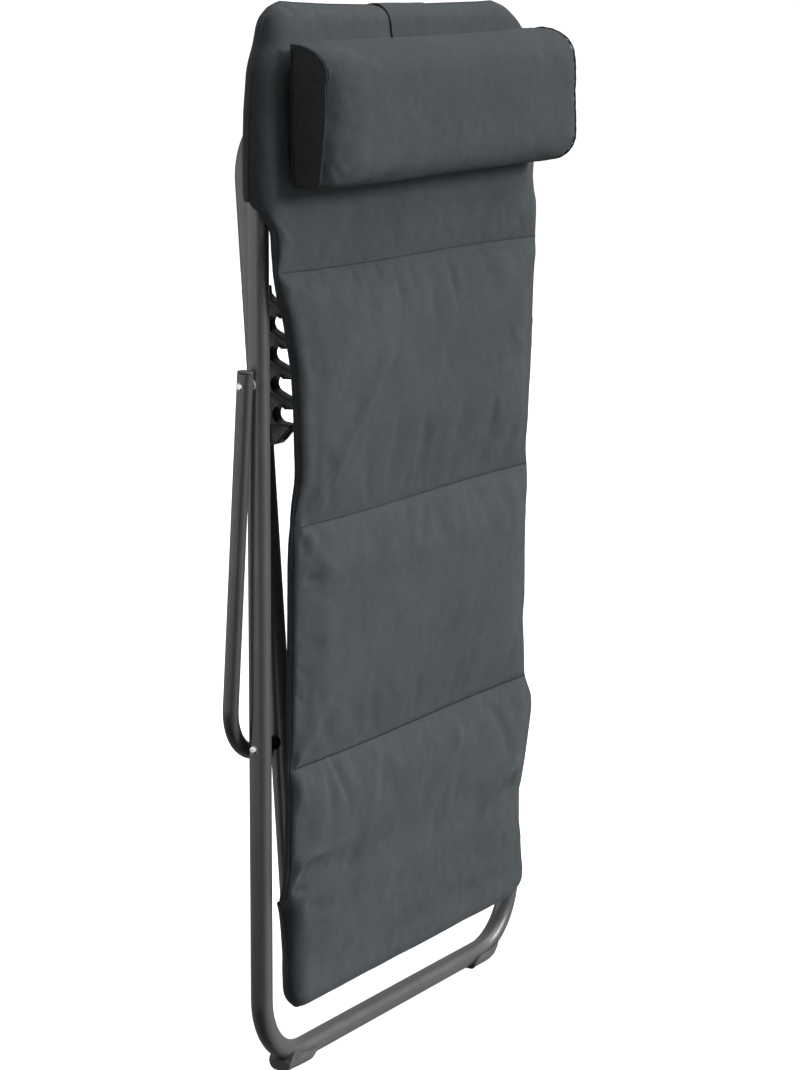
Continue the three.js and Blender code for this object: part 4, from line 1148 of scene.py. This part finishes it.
def build_pillow():
    ns = 72
    caps_, mids = (resample(CAP, ns), resample(CAP_R, ns)), resample(MIDS, ns)
    xs = np.concatenate([[0, 1.5, 4, 7.5, 12], np.linspace(18, (P_RIGHT - P_LEFT) / 2, 34)])
    xs = np.concatenate([P_LEFT + xs, (P_RIGHT - xs)[::-1][1:]])
    nx = len(xs)
    verts = []
    for x in xs:
        d = min(x - P_LEFT, P_RIGHT - x)
        w = 1 - math.exp(-(d / 26.0))
        w = 0.35 * min(1, d / 3.0) * (1 - math.exp(-d / 8)) + 0.65 * w if d < 60 else 1.0 * w
        s = caps_[int(x > 0)] * (1 - w) + mids * w
        for y, z in s:
            # below its middle the front cloth laps a little over the left cap
            lap = 2.0 * smoothstep(1092, 1066, z) * smoothstep(-52, -66, y) * math.exp(-max(x - P_LEFT, 0) / 7.0) if x < 0 else 0.0
            verts.append((x - lap, y, z))
    faces = []
    for i in range(nx - 1):
        for k in range(ns):
            l = (k + 1) % ns
            faces.append((i * ns + k, i * ns + l, (i + 1) * ns + l, (i + 1) * ns + k))
    caps = []
    for end, base in ((0, 0), (1, (nx - 1) * ns)):
        cap = caps_[end]
        c = cap.mean(0)
        prev = list(range(base, base + ns))
        x = xs[0] if end == 0 else xs[-1]
        for r in (0.93, 0.8, 0.62, 0.42, 0.2):
            cur = []
            dish = 1.4 * (1 - r)
            for k in range(ns):
                y, z = c + (cap[k] - c) * r
                cur.append(len(verts))
                verts.append((x + (dish if end == 0 else -dish), y, z))
            for k in range(ns):
                l = (k + 1) % ns
                faces.append((prev[k], prev[l], cur[l], cur[k]))
            prev = cur
        ci = len(verts)
        verts.append((x + (1.4 if end == 0 else -1.4), c[0], c[1]))
        for k in range(ns):
            faces.append((prev[k], prev[(k + 1) % ns], ci))
    v = np.array(verts, float)
    pinp = np.zeros(len(v))
    idx = np.arange(len(v))
    for i, x in enumerate(xs):
        d = min(x - P_LEFT, P_RIGHT - x)
        pinp[i * ns:(i + 1) * ns] = 1.0 if d < 1 else max(0.0, 0.5 - d / 12.0)
    pinp = np.maximum(pinp, np.where(v[:, 1] > -34.5, 0.9, 0))
    pinp[nx * ns:] = np.maximum(pinp[nx * ns:], 0.35)
    return v, faces, pinp, xs, ns


def roll(v):
    """turns the pillow a little about Y, right end up"""
    v = np.array(v, float)
    q = v.copy()
    c, s = math.cos(P_ROLL), math.sin(P_ROLL)
    zc = 1090.0
    q[..., 0] = v[..., 0] * c - (v[..., 2] - zc) * s
    q[..., 2] = zc + v[..., 0] * s + (v[..., 2] - zc) * c + 1.0
    return q


pv, pf, ppin, pxs, pns = build_pillow()
pillow = make("head_cushion", roll(pv), pf, M_PIL, sharp=60)
pb = np.zeros(len(pv) * 3)
pillow.data.vertices.foreach_get("co", pb)
pb = pb.reshape(-1, 3)
pb, pm = simulate(pillow, ppin, pressure=1.1, shrink=-0.004, cap_mm=2.4, frames=12, bend=0.8)
pb = pb + pm
# puckers where the end seams gather the cloth
d_end = np.minimum(pv[:, 0] - P_LEFT, P_RIGHT - pv[:, 0])
centre = np.array([0, -60, 1090.0])
around = np.arctan2(pv[:, 2] - 1090, pv[:, 1] + 60)
wave = np.sin(around * 13 + 1.3 * np.sin(around * 3)) * 0.6 + 0.7 * value_noise(around * 60 + 500, pv[:, 0] + 900, 9.0, 31)
amp = np.where(d_end > 0.5, 0.75 * np.exp(-((d_end - 8) / 9.0) ** 2), 0) * (0.25 + 0.75 * smoothstep(1030, 1070, pv[:, 2]))
rdir = np.stack([np.zeros(len(pv)), pv[:, 1] + 60, pv[:, 2] - 1090], 1)
rdir /= np.maximum(np.linalg.norm(rdir, axis=1, keepdims=True), 1e-6)
mask = (pv[:, 1] < -34.5)
pb = pb + 0.001 * rdir * (amp * wave * mask)[:, None]
pb = pb + 0.001 * rdir * ((0.5 * value_noise(pv[:, 0] + 900, pv[:, 2], 55.0, 33) + 0.25 * value_noise(pv[:, 0] + 900, pv[:, 2], 24.0, 34)) * mask * (d_end > 2))[:, None]
set_co(pillow, pb)
subdivide(pillow)
# crumples at the lower left corner and along the left seam, slack across the front
pc = np.zeros(len(pillow.data.vertices) * 3)
pillow.data.vertices.foreach_get("co", pc)
pc = pc.reshape(-1, 3)
px_, py_, pz_ = pc[:, 0] * 1000, (pc[:, 1] - OY) * 1000, (pc[:, 2] - SOLE) * 1000
PIL_FOLDS = [
    ([(-259, 1040), (-254, 1026), (-243, 1018)], 2.6, 1.5),
    ([(-254, 1050), (-247, 1034), (-230, 1026)], 2.6, 1.1),
    ([(-250, 1030), (-240, 1021), (-226, 1017)], 2.2, -0.9),
    ([(-257, 1138), (-246, 1126), (-228, 1120)], 4, 0.7),
    ([(-256, 1124), (-244, 1108), (-236, 1088)], 4, 0.8),
    ([(-254, 1150), (-236, 1146), (-214, 1150)], 4, 0.6),
    ([(-256, 1092), (-240, 1082), (-222, 1084)], 4, 0.5),
    ([(-252, 1070), (-236, 1060), (-206, 1058)], 5, 0.5),
    ([(-236, 1128), (-206, 1112), (-176, 1108)], 7, 0.45),
    ([(-226, 1040), (-186, 1032), (-150, 1036)], 6, 0.45),
    ([(-110, 1146), (-70, 1140), (-30, 1148)], 8, 0.35),
    ([(-60, 1050), (-20, 1040), (30, 1046)], 9, 0.35),
    ([(262, 1150), (244, 1138), (222, 1140)], 4, 0.6),
    ([(262, 1120), (246, 1112), (228, 1118)], 4, 0.5),
    ([(262, 1088), (244, 1080), (214, 1082)], 5, 0.5),
    ([(260, 1050), (242, 1044), (212, 1050)], 5, 0.6),
    ([(256, 1030), (238, 1026), (208, 1032)], 4, 0.6),
    ([(120, 1092), (160, 1084), (210, 1090)], 9, 0.35),
]
face_ = smoothstep(-48, -58, py_) * smoothstep(-259.5, -256.5, px_) * smoothstep(263, 260, px_)
crumple = fold_height(px_, pz_, PIL_FOLDS) + 0.32 * value_noise(px_ + 900, pz_, 19.0, 35) + 0.14 * value_noise(px_ + 900, pz_, 9.0, 36)
pc[:, 1] -= 0.001 * face_ * crumple
set_co(pillow, pc)
pillow.data.shade_smooth()
slots_and_ride(pillow, "back_frame", "pillow_fabric", "head_pillow")
# piping round each cushion end, in darker cloth: painted shade of the end seam's recess
for tag, x, e, shape in (("left", P_LEFT, -1, CAP), ("right", P_RIGHT, 1, CAP_R)):
    ring = resample(shape, 140)
    mid_ = np.array([-55.0, 1090.0])
    out_ = (ring - mid_) / np.linalg.norm(ring - mid_, axis=1, keepdims=True)
    rope = ring + 0.5 * out_
    lap_ = 1.9 * smoothstep(1092, 1066, ring[:, 1]) * smoothstep(-52, -66, ring[:, 0]) * (e < 0)
    loop = np.array([(x + e * (0.7 + 0.25 * math.sin(k * 0.9)) - lap_[k], y, z) for k, (y, z) in enumerate(rope)])
    v, f = sweep(roll(loop), [1.15 + 0.12 * math.sin(k * 1.7) for k in range(140)], sides=10, closed=True)
    slots_and_ride(make(f"cushion_piping_{tag}", v, f, M_PIPING_SHADE), "back_frame", "pillow_fabric")

# a dark cord along the left cap's upper front edge: painted shadow of the groove where the piping folds in
ring = resample(CAP, 160)
keep_ = [k for k in range(160) if ring[k, 0] < -46 and ring[k, 1] > 1072]
line_ = np.array([(P_LEFT + 1.9, ring[k, 0] - 0.4 * (ring[k, 0] < -60), ring[k, 1] + 0.5 * (ring[k, 1] > 1140)) for k in keep_])
v, f = sweep(roll(line_), 1.0, sides=8)
slots_and_ride(make("cushion_seam_left", v, f, M_SEAM_SHADE), "back_frame", "pillow_fabric")

# ------------------------------------------------------------------ band over the top
def band():
    front_z = [1148, 1156, 1164, 1172, 1179, 1185, 1190, 1194, 1197, 1199.5]
    path = [(mat_front_y(0, z) - 0.3, z) for z in front_z] + [(-10.5, 1202.4), (-5, 1203.7), (0, 1204.0), (5, 1203.4), (9.6, 1201.2), (12.8, 1196.8), (14.5, 1190), (15.0, 1180), (15.1, 1150), (14.9, 1110), (14.7, 1072)]
    p = np.array(path)
    d = np.concatenate([[0], np.cumsum(np.linalg.norm(np.diff(p, axis=0), axis=1))])
    t = np.linspace(0, d[-1], 90)
    # smooth interpolation
    y = np.interp(t, d, p[:, 0])
    z = np.interp(t, d, p[:, 1])
    k = np.ones(5) / 5
    y[2:-2], z[2:-2] = np.convolve(y, k, "valid"), np.convolve(z, k, "valid")
    ty, tz = np.gradient(y), np.gradient(z)
    l = np.hypot(ty, tz)
    ny, nz = -tz / l, ty / l          # outward: away from the mat
    rows_ = []
    n = 26
    for i in range(len(t)):
        f = t[i] / d[-1]
        # the left edge swings in towards the pillow
        left = -52.0 + 0.6 * math.sin(t[i] / 21.0)
        right = 50.0 + 0.5 * math.sin(t[i] / 17.0 + 1.0)
        for j in range(n):
            u = j / (n - 1)
            x = left + (right - left) * u
            edge = min(u, 1 - u) * (right - left)
            lift = 1.0 + 0.12 * math.sin(x / 11.0 + f * 9)
            hug = 0.0
            if y[i] < -8 and z[i] < 1199.5:
                hug = (mat_front_y(x, z[i]) - mat_front_y(0, z[i])) * smoothstep(1199.5, 1190, z[i])
            rows_.append((x, y[i] + hug + ny[i] * lift, z[i] + nz[i] * lift))
    verts = np.array(rows_)
    faces = [(i * n + j, i * n + j + 1, (i + 1) * n + j + 1, (i + 1) * n + j) for i in range(len(t) - 1) for j in range(n - 1)]
    o = make("cushion_band", verts, faces, M_STRAP, sharp=180)
    s = o.modifiers.new("thick", "SOLIDIFY")
    s.thickness = 0.0018
    s.offset = 0
    apply_mods(o)
    o.data.shade_smooth()
    o.data.set_sharp_from_angle(angle=rad(50))
    return slots_and_ride(o, "back_frame", "strap_fabric", "pillow_strap")


band()

# ------------------------------------------------------------------ stage, light, camera
def stage_obj(o, **vis):
    for k, val in vis.items():
        setattr(o, k, val)
    return o


me = bpy.data.meshes.new("floor")
R, n = 9.0, 96
me.from_pydata([(0, 0, 0)] + [(R * math.cos(2 * math.pi * k / n), R * math.sin(2 * math.pi * k / n), 0) for k in range(n)], [], [(0, 1 + k, 1 + (k + 1) % n) for k in range(n)])
floor = bpy.data.objects.new("floor", me)
bpy.context.scene.collection.objects.link(floor)
fm, N, L, b = new_mat("floor_paper", (0.82, 0.82, 0.82), 0.9, spec=0.1)
b.inputs["Emission Color"].default_value = (1, 1, 1, 1)
b.inputs["Emission Strength"].default_value = 0.98
me.materials.append(fm)
floor.location.z = -0.0005
stage_obj(floor, visible_diffuse=False, visible_glossy=False)

bpy.ops.mesh.primitive_uv_sphere_add(segments=64, ring_count=32, radius=9.0, location=(0, 0, 0))
dome = bpy.context.object
dome.name = "backdrop"
dm = bpy.data.materials.new("backdrop_paper")
dm.use_nodes = True
dn = dm.node_tree
dn.nodes.clear()
em = dn.nodes.new("ShaderNodeEmission")
em.inputs["Color"].default_value = (1, 1, 1, 1)
em.inputs["Strength"].default_value = 1.15
out = dn.nodes.new("ShaderNodeOutputMaterial")
dn.links.new(em.outputs[0], out.inputs[0])
dome.data.materials.append(dm)
stage_obj(dome, visible_diffuse=False, visible_glossy=False, visible_transmission=False, visible_shadow=False)

world = bpy.data.worlds.new("studio")
bpy.context.scene.world = world
world.use_nodes = True
wn, wl = world.node_tree.nodes, world.node_tree.links
wn.clear()
tc = wn.new("ShaderNodeTexCoord")
dot = wn.new("ShaderNodeVectorMath")
dot.operation = "DOT_PRODUCT"
dot.inputs[1].default_value = (0.80, 0.56, 0.2)
wl.new(tc.outputs["Generated"], dot.inputs[0])
rp = wn.new("ShaderNodeValToRGB")
rp.color_ramp.elements[0].position = 0.0
rp.color_ramp.elements[0].color = (0.03, 0.032, 0.036, 1)
rp.color_ramp.elements[1].position = 1.0
rp.color_ramp.elements[1].color = (0.85, 0.86, 0.88, 1)
mr = wn.new("ShaderNodeMapRange")
mr.inputs["From Min"].default_value = -0.6
mr.inputs["From Max"].default_value = 0.9
wl.new(dot.outputs["Value"], mr.inputs["Value"])
wl.new(mr.outputs["Result"], rp.inputs["Fac"])
bg = wn.new("ShaderNodeBackground")
bg.inputs["Strength"].default_value = 0.42
wl.new(rp.outputs["Color"], bg.inputs["Color"])
wo = wn.new("ShaderNodeOutputWorld")
wl.new(bg.outputs[0], wo.inputs[0])


def sun(name, frm, energy, angle):
    d = bpy.data.lights.new(name, "SUN")
    d.energy = energy
    d.angle = rad(angle)
    o = bpy.data.objects.new(name, d)
    o.rotation_euler = Vector(frm).to_track_quat("Z", "Y").to_euler()
    bpy.context.scene.collection.objects.link(o)
    return o


sun("key", (0.46, -1.0, 0.44), 1.8, 20)
sun("overhead", (0.45, -0.4, 1.0), 1.25, 50)
sun("left_fill", (-1.0, -0.42, 0.25), 0.13, 50)
sun("floor_bounce", (0.35, -0.8, -0.75), 0.36, 70)

# a pale card on the left that only the tubes' gloss picks up
cv, cf = [], []
for i in range(25):
    a_ = rad(98 + 108 * i / 24)
    for z_ in (-0.6, 3.2):
        cv.append((3.6 * math.cos(a_), 3.6 * math.sin(a_), z_))
for i in range(24):
    cf.append((2 * i, 2 * i + 1, 2 * i + 3, 2 * i + 2))
cm = bpy.data.meshes.new("side_card")
cm.from_pydata(cv, [], cf)
card = bpy.data.objects.new("side_card", cm)
bpy.context.scene.collection.objects.link(card)
km = bpy.data.materials.new("card_white")
km.use_nodes = True
kn = km.node_tree
kn.nodes.clear()
ke = kn.nodes.new("ShaderNodeEmission")
ke.inputs["Color"].default_value = (1, 1, 1, 1)
ke.inputs["Strength"].default_value = 1.15
ko = kn.nodes.new("ShaderNodeOutputMaterial")
kn.links.new(ke.outputs[0], ko.inputs[0])
cm.materials.append(km)
stage_obj(card, visible_camera=False, visible_diffuse=False, visible_transmission=False, visible_shadow=False, visible_volume_scatter=False)

cam_d = bpy.data.cameras.new("camera")
cam = bpy.data.objects.new("camera", cam_d)
bpy.context.scene.collection.objects.link(cam)
C = row((-2789.72, -1755.56, 1228.36))
fw = np.array([0.8317, 0.52131, -0.19109])
rt = np.array([0.53171, -0.84692, 0.00374])
fw /= np.linalg.norm(fw)
rt -= fw * (rt @ fw)
rt /= np.linalg.norm(rt)
up = np.cross(rt, fw)
cam.matrix_world = Matrix(((rt[0], up[0], -fw[0], C[0]), (rt[1], up[1], -fw[1], C[1]), (rt[2], up[2], -fw[2], C[2]), (0, 0, 0, 1)))
cam_d.sensor_width = 36
cam_d.lens = 36 * 2839.394 / 1070
cam_d.clip_end = 60
bpy.context.scene.camera = cam
bpy.context.scene.view_settings.view_transform = "Standard"
